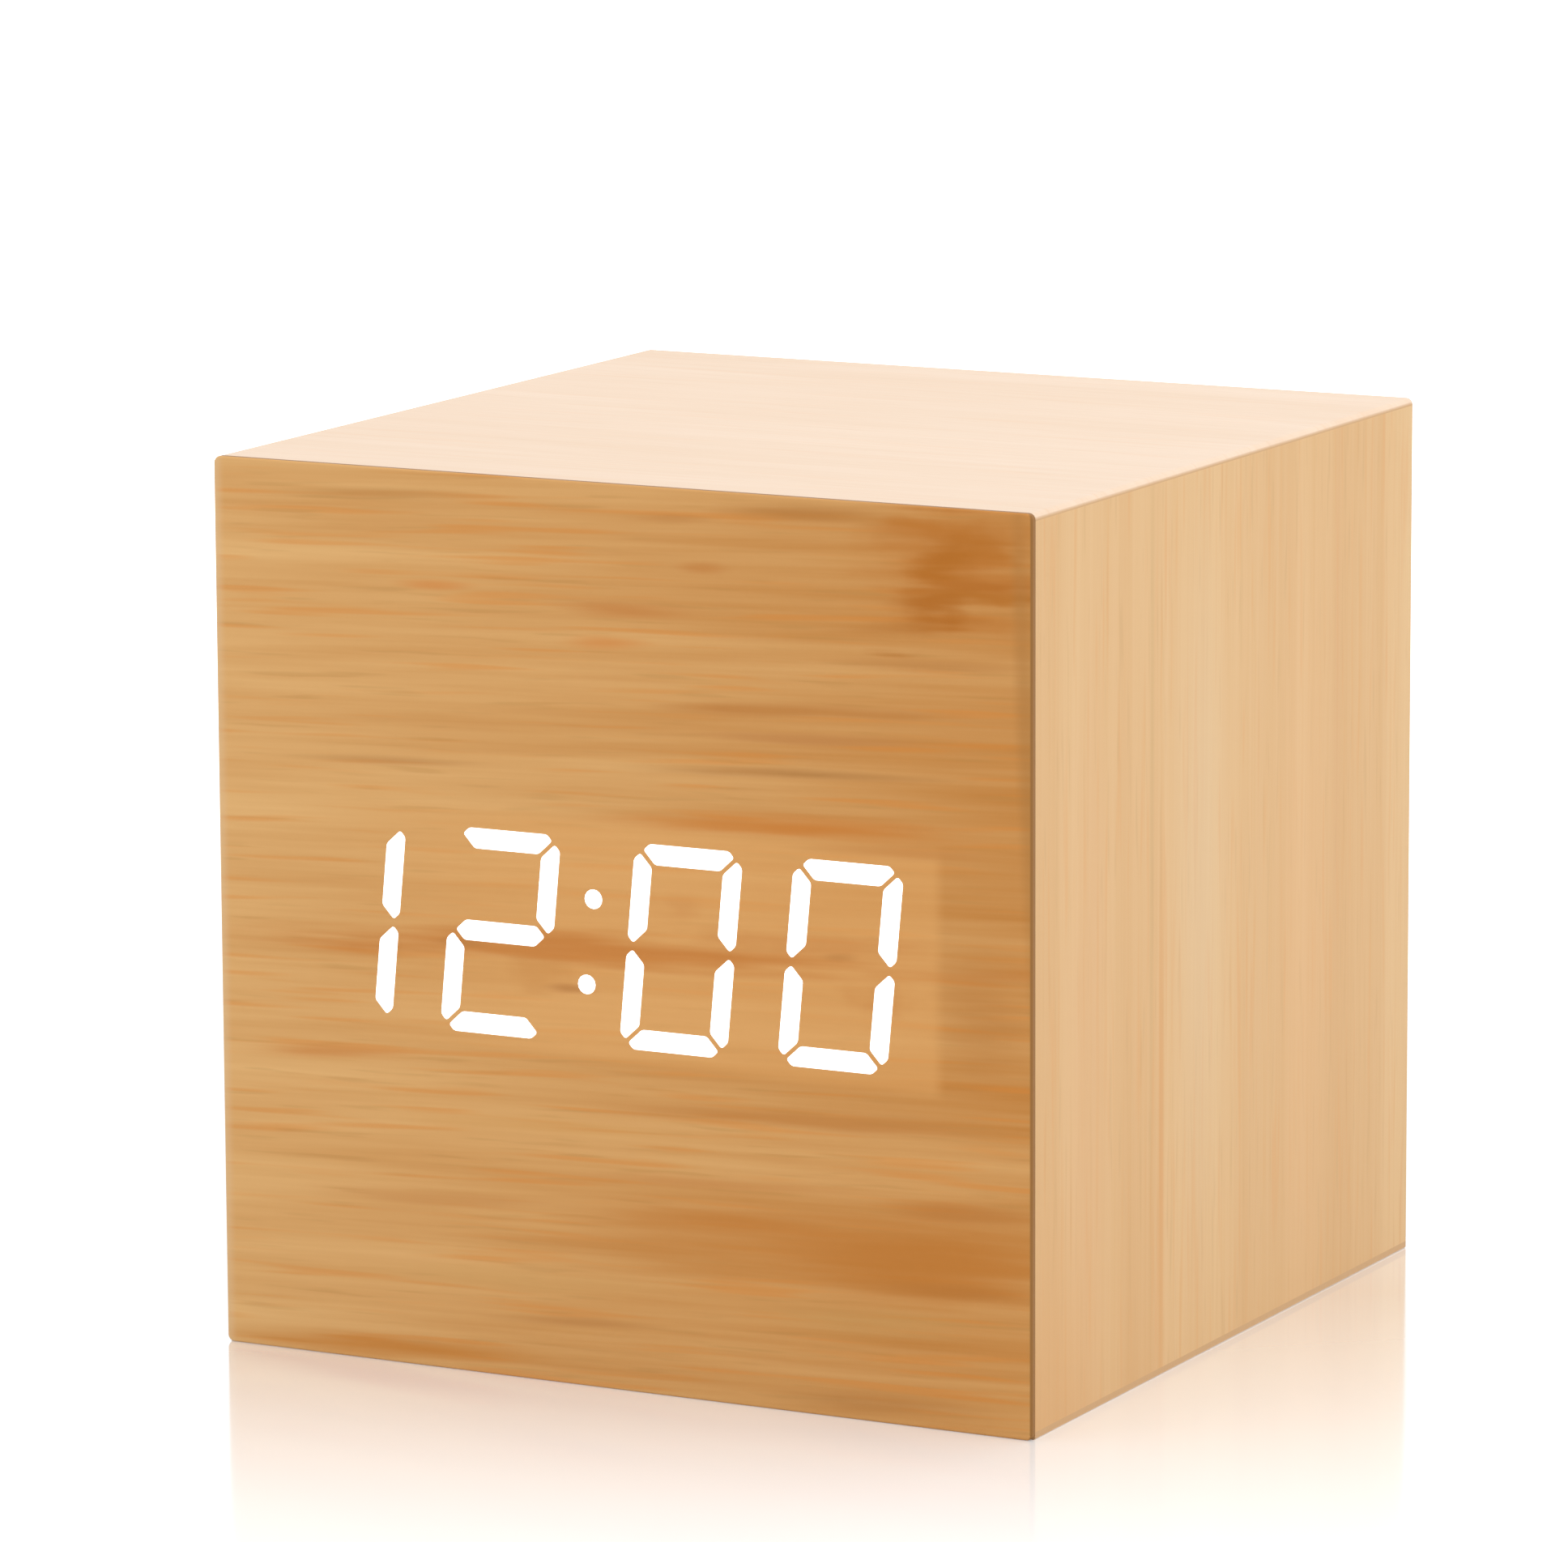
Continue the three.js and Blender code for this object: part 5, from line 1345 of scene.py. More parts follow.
@dataclass
class BackCover:
    """The black rear cover: a plate with the cell bay behind it, the door's rebate, the holes and the posts.

    The plate stands back from the rear of the boards. Every cutter passes its face by the overrun.
    """

    front: float = 26 * MM
    bay_half: float = 23.9 * MM
    bay_bottom: float = 9.4 * MM
    bay_top: float = 42.3 * MM
    bay_floor: float = 15.4 * MM
    wall: float = 1.2 * MM
    rebate_front: float = 26.4 * MM
    rebate_half: float = 24.2 * MM
    rebate_height: Span = (8.7 * MM, 43.2 * MM)
    notch_half: float = 6.4 * MM
    notch_top: float = 45.9 * MM
    notch_front: float = 22.2 * MM
    recess_half: float = 5 * MM
    recess_front: float = 27 * MM
    recess_top: float = 47.3 * MM
    hook_x: float = 19.5 * MM
    hook_notch: Span = (6.6 * MM, 24.3 * MM)
    control_height: float = 50.4 * MM
    button_x: tuple[float, ...] = (-3.6 * MM, 4.0 * MM, 11.6 * MM)
    button_hole: float = 5.3 * MM
    screw_place: Span = (23.3 * MM, 53.1 * MM)
    screw_hole: float = 2.5 * MM
    socket_x: float = -11.6 * MM
    socket_hole: Span = (8.0 * MM, 3.1 * MM)
    socket_chamfer: float = 0.7 * MM
    sound_place: Span = (18 * MM, 47.2 * MM)
    sound_hole: float = 1.6 * MM
    rib_heights: Span = (20.4 * MM, 31.3 * MM)
    rib_size: tuple[float, float, float] = (42 * MM, 2 * MM, 1.2 * MM)
    tongue_x: float = 10 * MM
    tongue_size: Span = (8.6 * MM, 1.2 * MM)
    tongue_reach: Span = (22.6 * MM, 5.1 * MM)
    post_place: Span = (18 * MM, 52.9 * MM)
    post_size: tuple[float, float, float] = (3.4 * MM, 1.7 * MM, 20.8 * MM)
    post_base: float = 1 * MM
    terminals: tuple[tuple[int, float], ...] = ((1, 36.75 * MM), (-1, 14.95 * MM))
    tab_slot: Span = (0.6 * MM, 2.4 * MM)
    edge_round: float = 0.2 * MM
    corner_round: float = 0.6 * MM
    overrun: float = 0.5 * MM

    def bay_cutters(self, rear: float) -> list[Workpiece]:
        """Gives the cutters of the bay, the rebate, the latch's notches and the finger recess.

        Args:
            rear: The plate's rear face.

        Returns:
            The cutters.
        """
        past, half = self.overrun, self.bay_half
        out = rear + past
        spans = {
            "hollow": ((-half, half), (self.bay_floor, out), (self.bay_bottom, self.bay_top)),
            "rebate": (about(0, 2 * self.rebate_half), (self.rebate_front, out), self.rebate_height),
            "notch": (
                about(0, 2 * self.notch_half),
                (self.notch_front, out),
                (self.bay_top - past, self.notch_top),
            ),
            "recess": (
                about(0, 2 * self.recess_half),
                (self.recess_front, out),
                (self.notch_top - past, self.recess_top),
            ),
        }
        cutters = [Workpiece.block(name, *sides) for name, sides in spans.items()]
        width, notch_front = self.hook_notch
        height = (self.bay_bottom - self.wall - past, self.bay_bottom + past)
        for side in (-1, 1):
            x = about(side * self.hook_x, width)
            cutters.append(Workpiece.block("hook_notch", x, (notch_front, self.front), height))
        thickness, tab = self.tab_slot
        y = (self.bay_floor - self.wall - past, self.bay_floor + past)
        for side, height in self.terminals:
            x = sorted((side * half, side * (half - thickness)))
            cutters.append(Workpiece.block("tab_slot", tuple(x), y, about(height, tab)))
        return cutters

    def hole_cutters(self, rear: float) -> list[Workpiece]:
        """Gives the cutters of the holes for the buttons, the screws, the socket and the sound.

        Args:
            rear: The plate's rear face.

        Returns:
            The cutters.
        """
        through = (self.front - self.overrun, rear + self.overrun)
        holes = [((x, self.control_height), self.button_hole) for x in self.button_x]
        holes += [((side * self.screw_place[0], self.screw_place[1]), self.screw_hole) for side in (-1, 1)]
        holes += [(self.sound_place, self.sound_hole)]
        cutters = [Workpiece.rod("hole", place, diameter, through) for place, diameter in holes]
        width, height = self.socket_hole
        x, z = about(self.socket_x, width), about(self.control_height, height)
        socket = Workpiece.block("socket_hole", x, through, z)
        socket.bevel(
            self.socket_chamfer,
            lambda middle, run: along_y(middle, run) and middle.z < self.control_height,
            segments=1,
        )
        return [*cutters, socket]

    def grown_parts(self) -> list[Workpiece]:
        """Gives what stands on the plate and in the bay: ribs, tongues and posts.

        Returns:
            The pieces to join on.
        """
        sunk = self.overrun
        length, height, width = self.rib_size
        rise = (self.bay_floor - sunk, self.bay_floor + height)
        parts = [Workpiece.block("rib", about(0, length), rise, about(z, width)) for z in self.rib_heights]
        tongue_width, tongue_thickness = self.tongue_size
        tongue_front, tongue_bottom = self.tongue_reach
        diameter, bore, post_front = self.post_size
        post_x, post_z = self.post_place
        tongue = Workpiece.block(
            "tongue",
            about(0, tongue_width),
            (tongue_front, self.front + sunk),
            (tongue_bottom, tongue_bottom + tongue_thickness),
        )
        post = Workpiece.rod("post", (0, post_z), diameter, (post_front, self.front + sunk), sides=32)
        depth = (post_front - sunk, self.front - self.post_base)
        post.cut(Workpiece.rod("bore", (0, post_z), bore, depth, sides=24))
        for side in (-1, 1):
            parts.append(tongue.again("cover_tongue", (side * self.tongue_x, 0, 0)))
            parts.append(post.again("board_post", (side * post_x, 0, 0)))
        tongue.discard()
        post.discard()
        return parts

    def build(self, plastic: bpy.types.Material) -> None:
        """Builds the cover.

        Args:
            plastic: The cover's material.
        """
        low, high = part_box("back_cover")
        cover = Workpiece.block("rear_cover", (low.x, high.x), (self.front, high.y), (low.z, high.z))
        cover.bevel(self.corner_round, along_y)
        screw_x, post_x = self.screw_place[0], self.post_place[0]
        cover.score((*self.button_x, self.socket_x, self.sound_place[0], screw_x, -screw_x, post_x, -post_x))
        outer = self.bay_half + self.wall
        bay = Workpiece.block(
            "bay",
            (-outer, outer),
            (self.bay_floor - self.wall, self.front + self.overrun),
            (self.bay_bottom - self.wall, self.bay_top + self.wall),
        )
        cover.join(bay).cut(*self.bay_cutters(high.y), *self.hole_cutters(high.y))
        cover.join(*self.grown_parts())
        cover.ease(self.edge_round).smooth().fit(plastic, BODY, "black_plastic", "back_cover")


@dataclass
class BatteryDoor:
    """The door over the cells: a leaf with grip ridges, two hooks at its foot and a folded latch at its head.

    Depths are places along Y and heights along Z. Pieces that join are sunk into each other.
    """

    leaf_depth: Span = (26.5 * MM, 28 * MM)
    leaf_half: float = 24 * MM
    leaf_height: Span = (8.9 * MM, 43 * MM)
    corner_round: float = 0.5 * MM
    ridge_heights: tuple[float, ...] = (40 * MM, 38.4 * MM, 36.8 * MM)
    ridge_size: tuple[float, float, float] = (12 * MM, 0.3 * MM, 0.7 * MM)
    ridge_round_share: float = 0.45
    hook_x: float = 19.5 * MM
    hook_width: float = 6 * MM
    hook_depth: Span = (24.9 * MM, 25.9 * MM)
    hook_height: Span = (7.6 * MM, 10.5 * MM)
    neck_depth: Span = (25.7 * MM, 26.8 * MM)
    neck_height: Span = (9.6 * MM, 10.5 * MM)
    latch_half: float = 6 * MM
    fold_depth: Span = (22.6 * MM, 23.6 * MM)
    foot_rear: float = 26.8 * MM
    foot_height: Span = (42 * MM, 43 * MM)
    lever_rear: float = 27.8 * MM
    lever_height: Span = (44.2 * MM, 45.2 * MM)
    nib_depth: Span = (25 * MM, 25.9 * MM)
    nib_rise: float = 0.3 * MM
    sunk: float = 0.2 * MM
    edge_round: float = 0.18 * MM
    bend_round: float = 0.55 * MM

    def hooks(self) -> list[Workpiece]:
        """Gives the hooks and their necks.

        Returns:
            The pieces to join on.
        """
        parts = []
        for side in (-1, 1):
            x = about(side * self.hook_x, self.hook_width)
            parts.append(Workpiece.block("hook", x, self.hook_depth, self.hook_height))
            parts.append(Workpiece.block("neck", x, self.neck_depth, self.neck_height))
        return parts

    def latch(self) -> Workpiece:
        """Gives the latch, a strip folded like a U, with its nib.

        Returns:
            The piece to join on.
        """
        x = about(0, 2 * self.latch_half)
        front, foot, head = self.fold_depth[0], self.foot_height[0], self.lever_height[1]
        latch = Workpiece.block("latch", x, (front, self.foot_rear), self.foot_height)
        latch.join(
            Workpiece.block("fold", x, self.fold_depth, (foot + self.sunk, head - self.sunk)),
            Workpiece.block("lever", x, (front, self.lever_rear), self.lever_height),
        )
        latch.bevel(
            self.bend_round,
            lambda middle, run: abs(run.x) > 0.9 and near(middle.y, front) and not foot < middle.z < head,
        )
        return latch.join(Workpiece.block("nib", x, self.nib_depth, (head - self.sunk, head + self.nib_rise)))

    def build(self, plastic: bpy.types.Material) -> None:
        """Builds the door.

        Args:
            plastic: The door's material.
        """
        rear = self.leaf_depth[1]
        door = Workpiece.block("cell_door", about(0, 2 * self.leaf_half), self.leaf_depth, self.leaf_height)
        door.bevel(self.corner_round, along_y)
        door.join(*self.hooks(), self.latch()).ease(self.edge_round)
        length, height, width = self.ridge_size
        ridge = Workpiece.block("ridge", about(0, length), about(rear, 2 * height), about(0, width))
        ridge.bevel(
            self.ridge_round_share * width,
            lambda middle, run: middle.y > rear and abs(run.y) < 0.1,
        )
        door.join(*[ridge.again("grip_ridge", (0, 0, z)) for z in self.ridge_heights])
        ridge.discard()
        door.smooth().fit(plastic, "door", "black_plastic", "battery_door")


@dataclass
class ButtonRow:
    """The three round buttons, their switches and the two cover screws.

    The screw's shank is given by the radius of its tip, its own radius and the length of its taper.
    """

    names: tuple[str, ...] = ("set", "up", "down")
    radius: float = 2.5 * MM
    flange_thickness: float = 0.75 * MM
    edge_round: float = 0.4 * MM
    edge_steps: int = 6
    dish: float = 0.14 * MM
    dish_shares: tuple[float, ...] = (0.15, 0.3, 0.5, 0.7, 0.85, 1.0)
    screw_head: Span = (2.2 * MM, 1.4 * MM)
    screw_shank: tuple[float, float, float] = (0.7 * MM, 1.1 * MM, 1 * MM)
    head_edge: float = 0.35 * MM
    dome_steps: int = 9
    dome_power: float = 0.9
    slot_size: tuple[float, float, float] = (2.5 * MM, 0.6 * MM, 0.8 * MM)
    blade_taper: Span = (0.45, 0.8)

    def caps(self, plastic: bpy.types.Material) -> None:
        """Models a cap with a rounded edge and a slightly dished end, and copies it for each button.

        Args:
            plastic: The caps' material.
        """
        nodes = {name: name + "_button_cap" for name in self.names}
        low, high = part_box(nodes[self.names[0]])
        flange, neck, end = (high.x - low.x) / 2, low.y + self.flange_thickness, high.y
        turns = [step * math.pi / 2 / self.edge_steps for step in range(self.edge_steps + 1)]
        shoulder = [
            (
                self.radius - self.edge_round * (1 - math.cos(turn)),
                end - self.edge_round * (1 - math.sin(turn)),
            )
            for turn in turns
        ]
        inner = self.radius - self.edge_round
        bowl = [(inner * (1 - share), end - self.dish * (1 - (1 - share) ** 2)) for share in self.dish_shares]
        profile = [(0, low.y), (flange, low.y), (flange, neck), (self.radius, neck), *shoulder, *bowl]
        cap = Workpiece.turned("cap", Axis.Y, (low + high) / 2, profile, sides=64)
        for name, node in nodes.items():
            copy = cap.again(name + "_cap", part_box(node)[0] - low)
            copy.smooth().fit(plastic, name + "_button", "button_plastic", node)
        cap.discard()

    def cross_cutter(self, middle: Vector, end: float) -> Workpiece:
        """Gives the cutter of a screw's cross recess, whose two blades narrow to their point.

        Args:
            middle: The middle of the screw.
            end: Where the head ends along Y.

        Returns:
            The cutter.
        """
        length, width, depth = self.slot_size
        along, across = self.blade_taper
        deep = end - depth
        blades = []
        for x, z, taper in ((length, width, (along, 1, across)), (width, length, (across, 1, along))):
            blade = Workpiece.block("blade", about(middle.x, x), (deep, end + depth), about(middle.z, z))
            blades.append(blade.reshape(lambda place, facing: near(place.y, deep), taper))
        return blades[0].join(blades[1])

    def cover_screws(self, steel: bpy.types.Material) -> None:
        """Models a screw with a pan head and a cross recess, and copies it for each side.

        Args:
            steel: The screws' material.
        """
        low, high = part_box("left_cover_screw")
        middle = (low + high) / 2
        radius, head = self.screw_head
        tip, shank, taper = self.screw_shank
        base = high.y - head
        turns = [step * math.pi / 2 / self.dome_steps for step in range(self.dome_steps)]
        dome = [
            (
                radius * math.cos(turn),
                base + self.head_edge + (head - self.head_edge) * math.sin(turn) ** self.dome_power,
            )
            for turn in turns
        ]
        tip_end = [(0, low.y), (tip, low.y), (shank, low.y + taper), (shank, base), (radius, base)]
        screw = Workpiece.turned("screw", Axis.Y, middle, [*tip_end, *dome, (0, high.y)], sides=40)
        screw.cut(self.cross_cutter(middle, high.y))
        for side in ("left", "right"):
            node = side + "_cover_screw"
            copy = screw.again(side + "_screw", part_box(node)[0] - low)
            copy.smooth().fit(steel, BODY, "screw_steel", node)
        screw.discard()

    def build(self) -> None:
        """Builds the caps and the screws and dresses the switches."""
        self.caps(BUTTON_PLASTIC.material())
        self.cover_screws(SCREW_STEEL.material())
        dress(CHIP_PLASTIC.material(), *[name + "_switch_body" for name in self.names])
        dress(WHITE_PLASTIC.material(), *[name + "_switch_plunger" for name in self.names])


@dataclass
class CellRow:
    """Three AAA cells with their springs, contacts and wires.

    Each cell's nub points to its own side, where it touches a flat contact. The rims are outlines in
    millimetres. A point of the foot rim lies in from the sleeve and up from the foot, one of the nub rim in
    from the sleeve and down from the shoulder, one of the nub's foot out from the nub and down from the
    shoulder, and one of the nub's tip in from the nub and down from its end.
    """

    sides: tuple[tuple[str, int], ...] = (("lower", 1), ("middle", -1), ("upper", 1))
    radius: float = 5.25 * MM
    nub_radius: float = 1.9 * MM
    nub_length: float = 1 * MM
    foot_rim: tuple[Span, ...] = (
        (1.6, 0.0), (1.45, 0.15), (1.0, 0.15), (0.85, 0.05),
        (0.5, 0.05), (0.22, 0.15), (0.06, 0.35), (0.0, 0.65),
    )
    nub_rim: tuple[Span, ...] = (
        (0.0, 0.65), (0.06, 0.35), (0.25, 0.12), (0.5, 0.05), (0.8, 0.1), (0.95, 0.3),
    )
    nub_foot: tuple[Span, ...] = ((1.2, 0.32), (0.3, 0.28), (0.05, 0.1), (0.0, -0.1))
    nub_tip: tuple[Span, ...] = ((0.0, 0.25), (0.08, 0.08), (0.3, 0.0))
    sleeve_inset: float = 0.5
    band_width: float = 7.5
    bay_half: float = 23.9 * MM
    contact_thickness: float = 0.4 * MM
    wire: float = 0.45 * MM
    turns: float = 2.25
    steps_per_turn: int = 40
    coil_radii: Span = (3.275 * MM, 1.775 * MM)
    spring_length: float = 2.5 * MM
    end_gap: float = 0.05 * MM

    def cell(self, low: Vector, high: Vector) -> Workpiece:
        """Models a cell with its rolled rims, its nub pointing to the right.

        Args:
            low: The lowest corner of the cell's box.
            high: The highest corner of the cell's box.

        Returns:
            The cell.
        """
        foot, end = low.x / MM, high.x / MM
        shoulder = end - self.nub_length / MM
        radius, nub = self.radius / MM, self.nub_radius / MM
        outline = [
            (0, foot),
            *[(radius - inward, foot + up) for inward, up in self.foot_rim],
            *[(radius - inward, shoulder - down) for inward, down in self.nub_rim],
            *[(nub + outward, shoulder - down) for outward, down in self.nub_foot],
            *[(nub - inward, end - down) for inward, down in self.nub_tip],
            (0, end),
        ]
        profile = [(out * MM, along * MM) for out, along in outline]
        return Workpiece.turned("cell", Axis.X, (low + high) / 2, profile, sides=64)

    def spring(self, side: int, middle: Vector) -> Workpiece:
        """Winds the conical contact spring of a cell from round wire.

        Args:
            side: The side of the bay that the spring stands on.
            middle: The middle of the cell.

        Returns:
            The spring.
        """
        base = self.bay_half - self.contact_thickness - self.wire / 2 - self.end_gap
        travel = self.spring_length - self.wire - 2 * self.end_gap
        steps = round(self.turns * self.steps_per_turn)
        curve = bpy.data.curves.new("wire", "CURVE")
        curve.dimensions = "3D"
        curve.bevel_depth = self.wire / 2
        curve.bevel_resolution = 3
        curve.use_fill_caps = True
        spline = curve.splines.new("POLY")
        spline.points.add(steps)
        wide, narrow = self.coil_radii
        for step, point in enumerate(spline.points):
            share = step / steps
            radius = wide + (narrow - wide) * share
            turn = share * self.turns * 2 * math.pi
            x = side * (base - travel * share)
            point.co = (x, middle.y + radius * math.cos(turn), middle.z + radius * math.sin(turn), 1)
        pick(placed("spring", curve))
        bpy.ops.object.convert(target="MESH")
        return Workpiece(bpy.context.active_object, "spring")

    def build(self) -> None:
        """Models a cell and a spring for each side, copies them, and dresses the contacts and wires."""
        nickel = NICKEL.material()
        low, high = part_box("lower_cell")
        foot, shoulder = low.x / MM, high.x / MM - self.nub_length / MM
        cell = self.cell(low, high)
        springs = {side: self.spring(-side, (low + high) / 2) for side in (-1, 1)}
        for name, side in self.sides:
            # Shrunk printed film: glossy green with a pale band, between bright metal ends.
            jacket = CellJacket(
                name=name + " cell in printed film",
                sleeve="#2b6350",
                band="#d8d8d2",
                metal="#cfcdc8",
                band_start=shoulder - self.band_width,
                sleeve_start=foot + self.sleeve_inset,
                sleeve_end=shoulder - self.sleeve_inset,
                nub_side=side,
            )
            node = name + "_cell"
            step = (0, *(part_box(node)[0] - low).yz)
            dry_cell = cell.again(name + "_dry_cell", step, mirrored=side < 0)
            dry_cell.smooth(50).fit(jacket.material(), BODY, "cell_jacket", node)
            spring = springs[side].again(name + "_spring", step)
            spring.smooth(60).fit(nickel, BODY, "nickel", name + "_contact_spring")
        for pattern in (cell, *springs.values()):
            pattern.discard()
        dress(nickel, "positive_contact", "negative_contact", "right_link_contact", "left_link_contact")
        dress(RED_JACKET.material(), "positive_wire")
        dress(BLACK_JACKET.material(), "negative_wire")


@dataclass
class ControlBoard:
    """The main circuit board, what is soldered to it and its power socket."""

    socket_wall: float = 0.3 * MM
    socket_floor: float = 0.4 * MM
    socket_chamfer: float = 0.7 * MM
    socket_round: float = 0.35 * MM
    tongue_round: float = 0.12 * MM

    def socket(self, nickel: bpy.types.Material) -> None:
        """Builds the socket's drawn shell and its tongue.

        Args:
            nickel: The shell's material.
        """
        low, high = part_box("power_socket_shell")
        middle = (low + high) / 2
        shell = Workpiece.block("socket_shell", *zip(low, high))
        shell.bevel(
            self.socket_chamfer,
            lambda place, run: along_y(place, run) and place.z < middle.z,
            segments=1,
        )
        shell.bevel(self.socket_round, along_y)
        depth = high.y - low.y - self.socket_floor
        shell.hollow(lambda place, facing: facing.y > 0.9, self.socket_wall, (0, -depth, 0))
        shell.smooth().fit(nickel, BODY, "nickel", "power_socket_shell")
        low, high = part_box("power_socket_tongue")
        tongue = Workpiece.block("socket_tongue", *zip(low, high))
        tongue.bevel(self.tongue_round, lambda place, run: not near(place.y, low.y))
        tongue.smooth().fit(CHIP_PLASTIC.material(), BODY, "chip_plastic", "power_socket_tongue")

    def build(self) -> None:
        """Builds the socket and dresses what is on the board."""
        nickel = NICKEL.material()
        self.socket(nickel)
        dress(SOLDER_MASK.material(), "main_board")
        dress(SCREW_STEEL.material(), "left_board_screw", "right_board_screw")
        dress(nickel, "microphone", "crystal")
        dress(CHIP_PLASTIC.material(), "controller_chip")
        dress(CAPACITOR_SLEEVE.material(), "capacitor")
        dress(BLACK_PLASTIC.material(), "buzzer")
        dress(EPOXY.material(), "temperature_sensor")
        dress(RIBBON_JACKET.material(), "ribbon_cable")


@dataclass
class Studio:
    """A pale glossy floor, a white backdrop and soft lamps.

    The floor's gloss fades with the distance from the clock and from a line through its middle, whose
    direction across is the gloss run. Where it is seen, the floor is lifted to white away from the clock.
    Each lamp has a name, a place, a size and a power.
    """

    floor_size: float = 4.0
    floor_colour: str = "#f4f4f4"
    gloss_near: float = 0.95
    gloss_run: tuple[float, float, float] = (0.46, -0.89, 0.0)
    gloss_span: Span = (0.0, 88 * MM)
    gloss_reach: float = 260 * MM
    gloss_roughness: float = 0.09
    floor_lift: float = 0.25
    lift_from: float = 60 * MM
    white_at: float = 0.36
    world_level: float = 0.72
    lamps: tuple[tuple[str, tuple[float, float, float], float, float], ...] = (
        ("overhead softbox", (0.05, 0.05, 0.62), 0.55, 1.1),
        ("left softbox", (-0.55, -0.62, 0.35), 0.5, 0.9),
        ("right softbox", (0.62, 0.05, 0.26), 0.45, 1.0),
    )

    def floor_shader(self, bench: NodeBench) -> Feed:
        """Mixes the floor's matt white, its gloss and its lift.

        Args:
            bench: The floor material's nodes.

        Returns:
            The floor's shader.
        """
        place = bench.add("TexCoord").outputs["Object"]
        split = bench.add("SeparateXYZ", {0: place})
        outside = []
        for axis in "XY":
            size = bench.add("Math", {0: split.outputs[axis]}, operation="ABSOLUTE")
            past = bench.add("Math", {0: size, 1: frame_high.x}, operation="SUBTRACT")
            outside.append(bench.add("Math", {0: past, 1: 0.0}, operation="MAXIMUM"))
        away = bench.add("CombineXYZ", {0: outside[0], 1: outside[1]})
        distance = bench.add("VectorMath", {0: away}, operation="LENGTH")
        across = bench.add("VectorMath", {0: place, 1: self.gloss_run}, operation="DOT_PRODUCT")
        off_line = bench.add("Math", {0: across}, operation="ABSOLUTE")
        start, end = self.gloss_span
        ramps = (
            (off_line, start, end, self.gloss_near, 0.0),
            (distance, 0.0, self.gloss_reach, 1.0, 0.0),
            (distance, self.lift_from, self.white_at, self.floor_lift, 1.0),
        )
        fade, around, lift = (
            bench.add("MapRange", {"Value": v, "From Min": a, "From Max": b, "To Min": c, "To Max": d})
            for v, a, b, c, d in ramps
        )
        share = bench.add("Math", {0: fade, 1: around}, operation="MULTIPLY")
        matt = bench.add("BsdfDiffuse", {"Color": linear(self.floor_colour)})
        gloss = bench.add("BsdfGlossy", {"Roughness": self.gloss_roughness})
        board = bench.add("MixShader", {0: share, 1: matt, 2: gloss})
        seen = bench.add("LightPath").outputs["Is Camera Ray"]
        shown = bench.add("Math", {0: seen, 1: lift}, operation="MULTIPLY")
        return bench.add("AddShader", {0: board, 1: bench.add("Emission", {"Strength": shown})})

    def floor(self) -> None:
        """Lays the floor."""
        bpy.ops.object.select_all(action="DESELECT")
        bpy.ops.mesh.primitive_plane_add(size=self.floor_size)
        floor = bpy.context.active_object
        floor.name = "studio_floor"
        # White lacquered board: near white, with a soft mirror image of the clock close to it.
        material, bench = new_material("white lacquered board")
        bench.add("OutputMaterial", {"Surface": self.floor_shader(bench)})
        floor.data.materials.append(material)

    def backdrop(self) -> None:
        """Sets the world: white where it is seen, and a plain soft level where it lights."""
        world = bpy.data.worlds.new("white studio")
        world.use_nodes = True
        bpy.context.scene.world = world
        bench = NodeBench(world.node_tree)
        path = bench.add("LightPath").outputs
        seen: Feed | float = 0.0
        for ray in ("Is Camera Ray", "Is Glossy Ray", "Is Transmission Ray"):
            seen = bench.add("Math", {0: path[ray], 1: seen}, operation="MAXIMUM")
        level = bench.add("MapRange", {"Value": seen, "To Min": self.world_level, "To Max": 1.0})
        white = bench.add("Background", {"Color": linear("#ffffff"), "Strength": level})
        bench.add("OutputWorld", {"Surface": white})

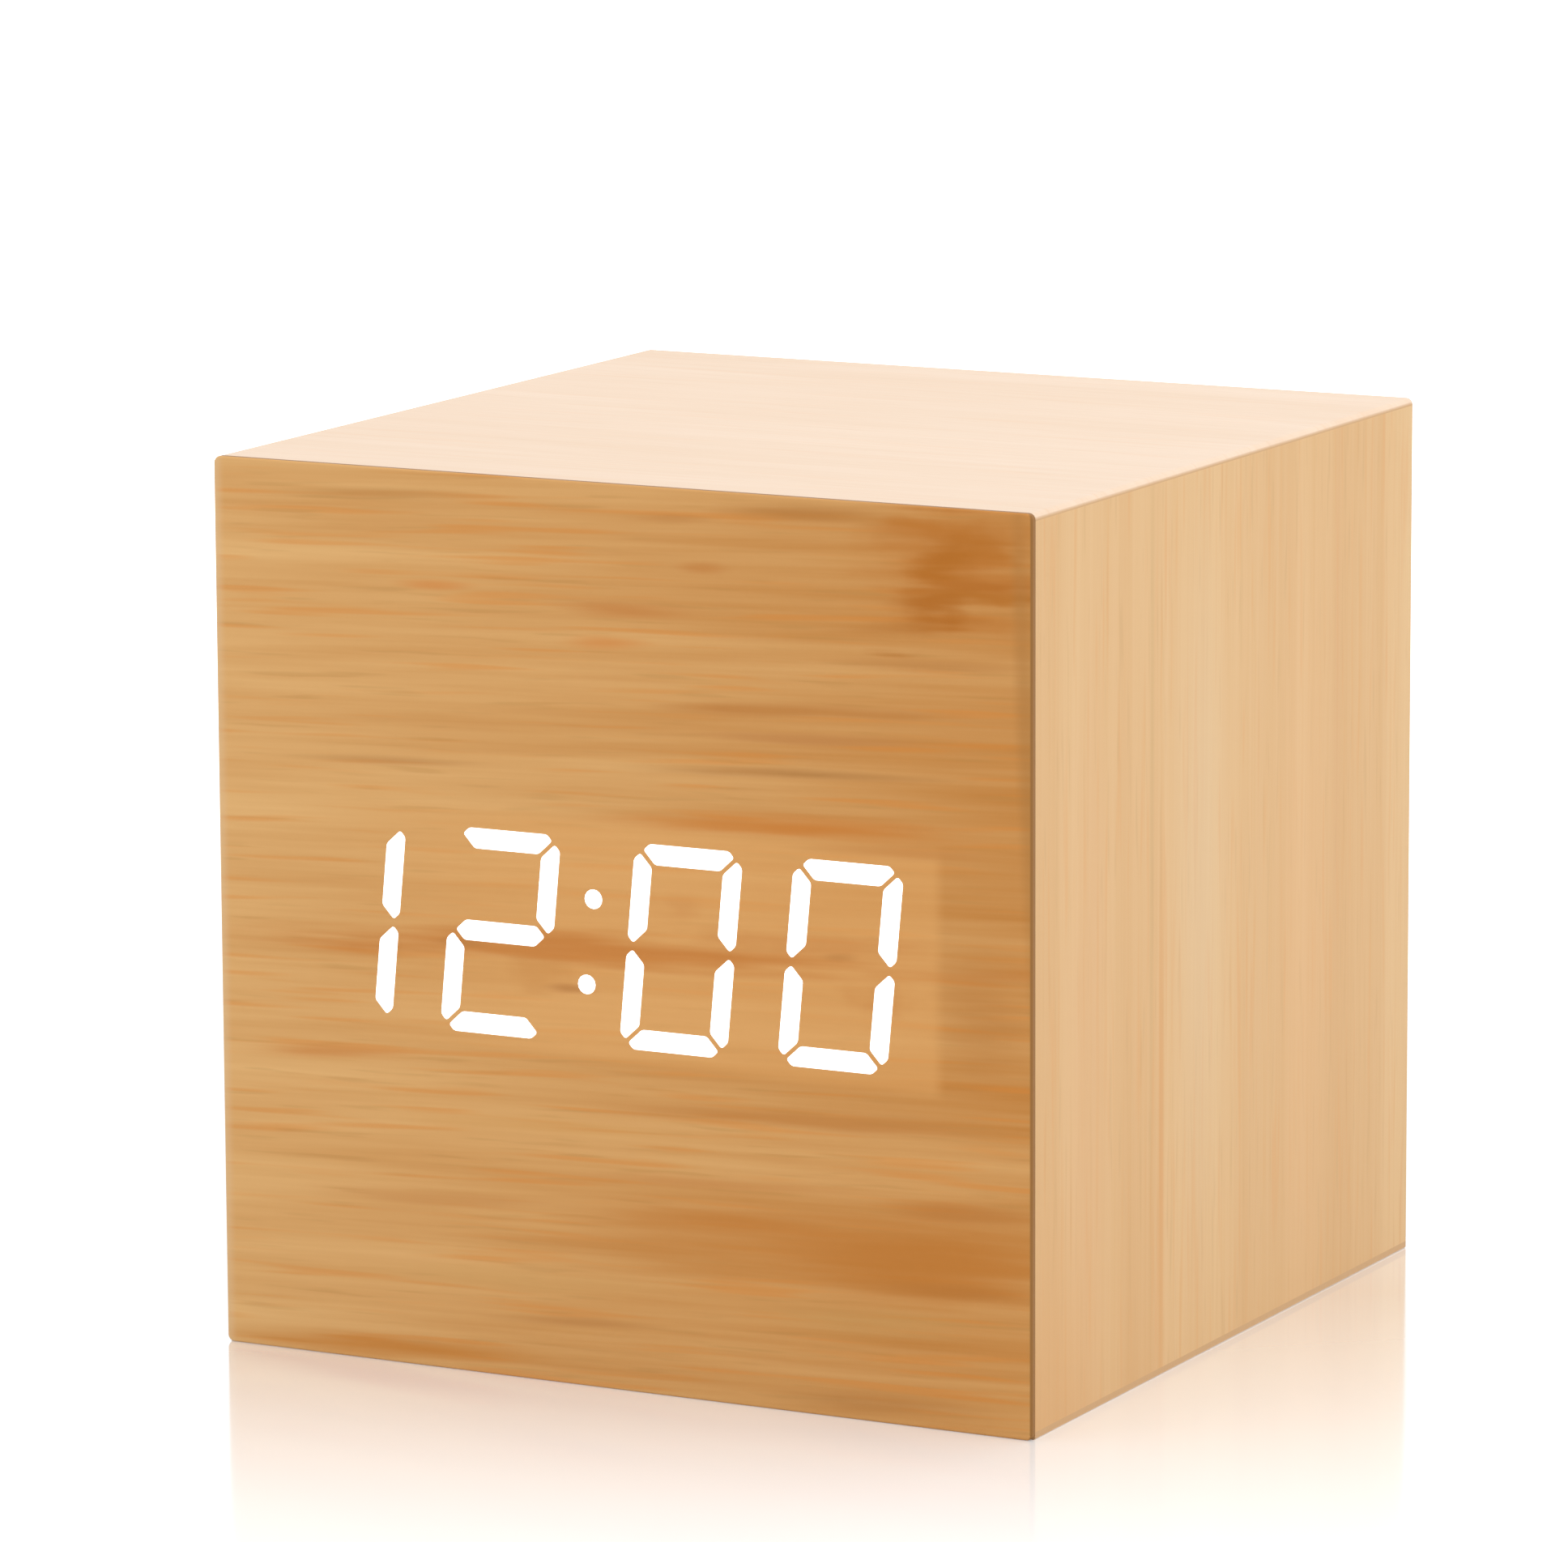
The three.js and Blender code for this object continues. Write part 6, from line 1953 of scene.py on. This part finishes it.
    def light(self) -> None:
        """Hangs the lamps, each turned to the middle of the clock."""
        target = (frame_low + frame_high) / 2
        for name, place, size, power in self.lamps:
            data = bpy.data.lights.new(name, "AREA")
            data.shape = "SQUARE"
            data.size = size
            data.energy = power
            lamp = placed(name, data)
            lamp.location = place
            lamp.rotation_euler = (target - Vector(place)).to_track_quat("-Z", "Y").to_euler()

    def build(self) -> None:
        """Builds the floor, the backdrop and the lamps."""
        self.floor()
        self.backdrop()
        self.light()
        bpy.context.scene.view_settings.view_transform = "Standard"
        log.info("built the studio")


@dataclass
class PhotoCamera:
    """The camera that took the photograph, as fitted to the corners of the cube.

    The offsets shift it sideways and up, in the plane of the picture. Angles are in degrees, and the frame's
    width is in pixels.
    """

    azimuth: float = 27.56
    elevation: float = 10.22
    roll: float = -0.27
    distance: float = 590.9 * MM
    offset_right: float = -2.97 * MM
    offset_up: float = 6.29 * MM
    focal_pixels: float = 10733.5
    frame_pixels: float = 1936.0
    sensor_width: float = 36.0
    clip_start: float = 10 * MM

    def build(self) -> None:
        """Sets the camera up at its place and makes it the scene's own."""
        turn, rise, roll = (math.radians(v) for v in (self.azimuth, self.elevation, self.roll))
        back = Vector((math.sin(turn) * math.cos(rise), -math.cos(turn) * math.cos(rise), math.sin(rise)))
        level = Vector((math.cos(turn), math.sin(turn), 0))
        upright = back.cross(level)
        right = math.cos(roll) * level + math.sin(roll) * upright
        up = math.cos(roll) * upright - math.sin(roll) * level
        data = bpy.data.cameras.new("photo camera")
        data.sensor_fit = "HORIZONTAL"
        data.sensor_width = self.sensor_width
        data.lens = self.focal_pixels / self.frame_pixels * self.sensor_width
        data.clip_start = self.clip_start
        camera = placed("photo camera", data)
        middle = (frame_low + frame_high) / 2
        camera.location = middle + right * self.offset_right + up * self.offset_up + back * self.distance
        camera.rotation_mode = "QUATERNION"
        camera.rotation_quaternion = Matrix((right, up, back)).transposed().to_quaternion()
        bpy.context.scene.camera = camera
        log.info("placed the camera")


def main() -> None:
    """Builds the clock's assemblies in order."""
    PhotoCamera().build()
    Studio().build()
    Cabinet().build(Display().build())
    plastic = BLACK_PLASTIC.material()
    BackCover().build(plastic)
    BatteryDoor().build(plastic)
    ButtonRow().build()
    CellRow().build()
    ControlBoard().build()


if __name__ == "__main__":
    logging.basicConfig(level=logging.INFO, format="%(message)s")
    main()
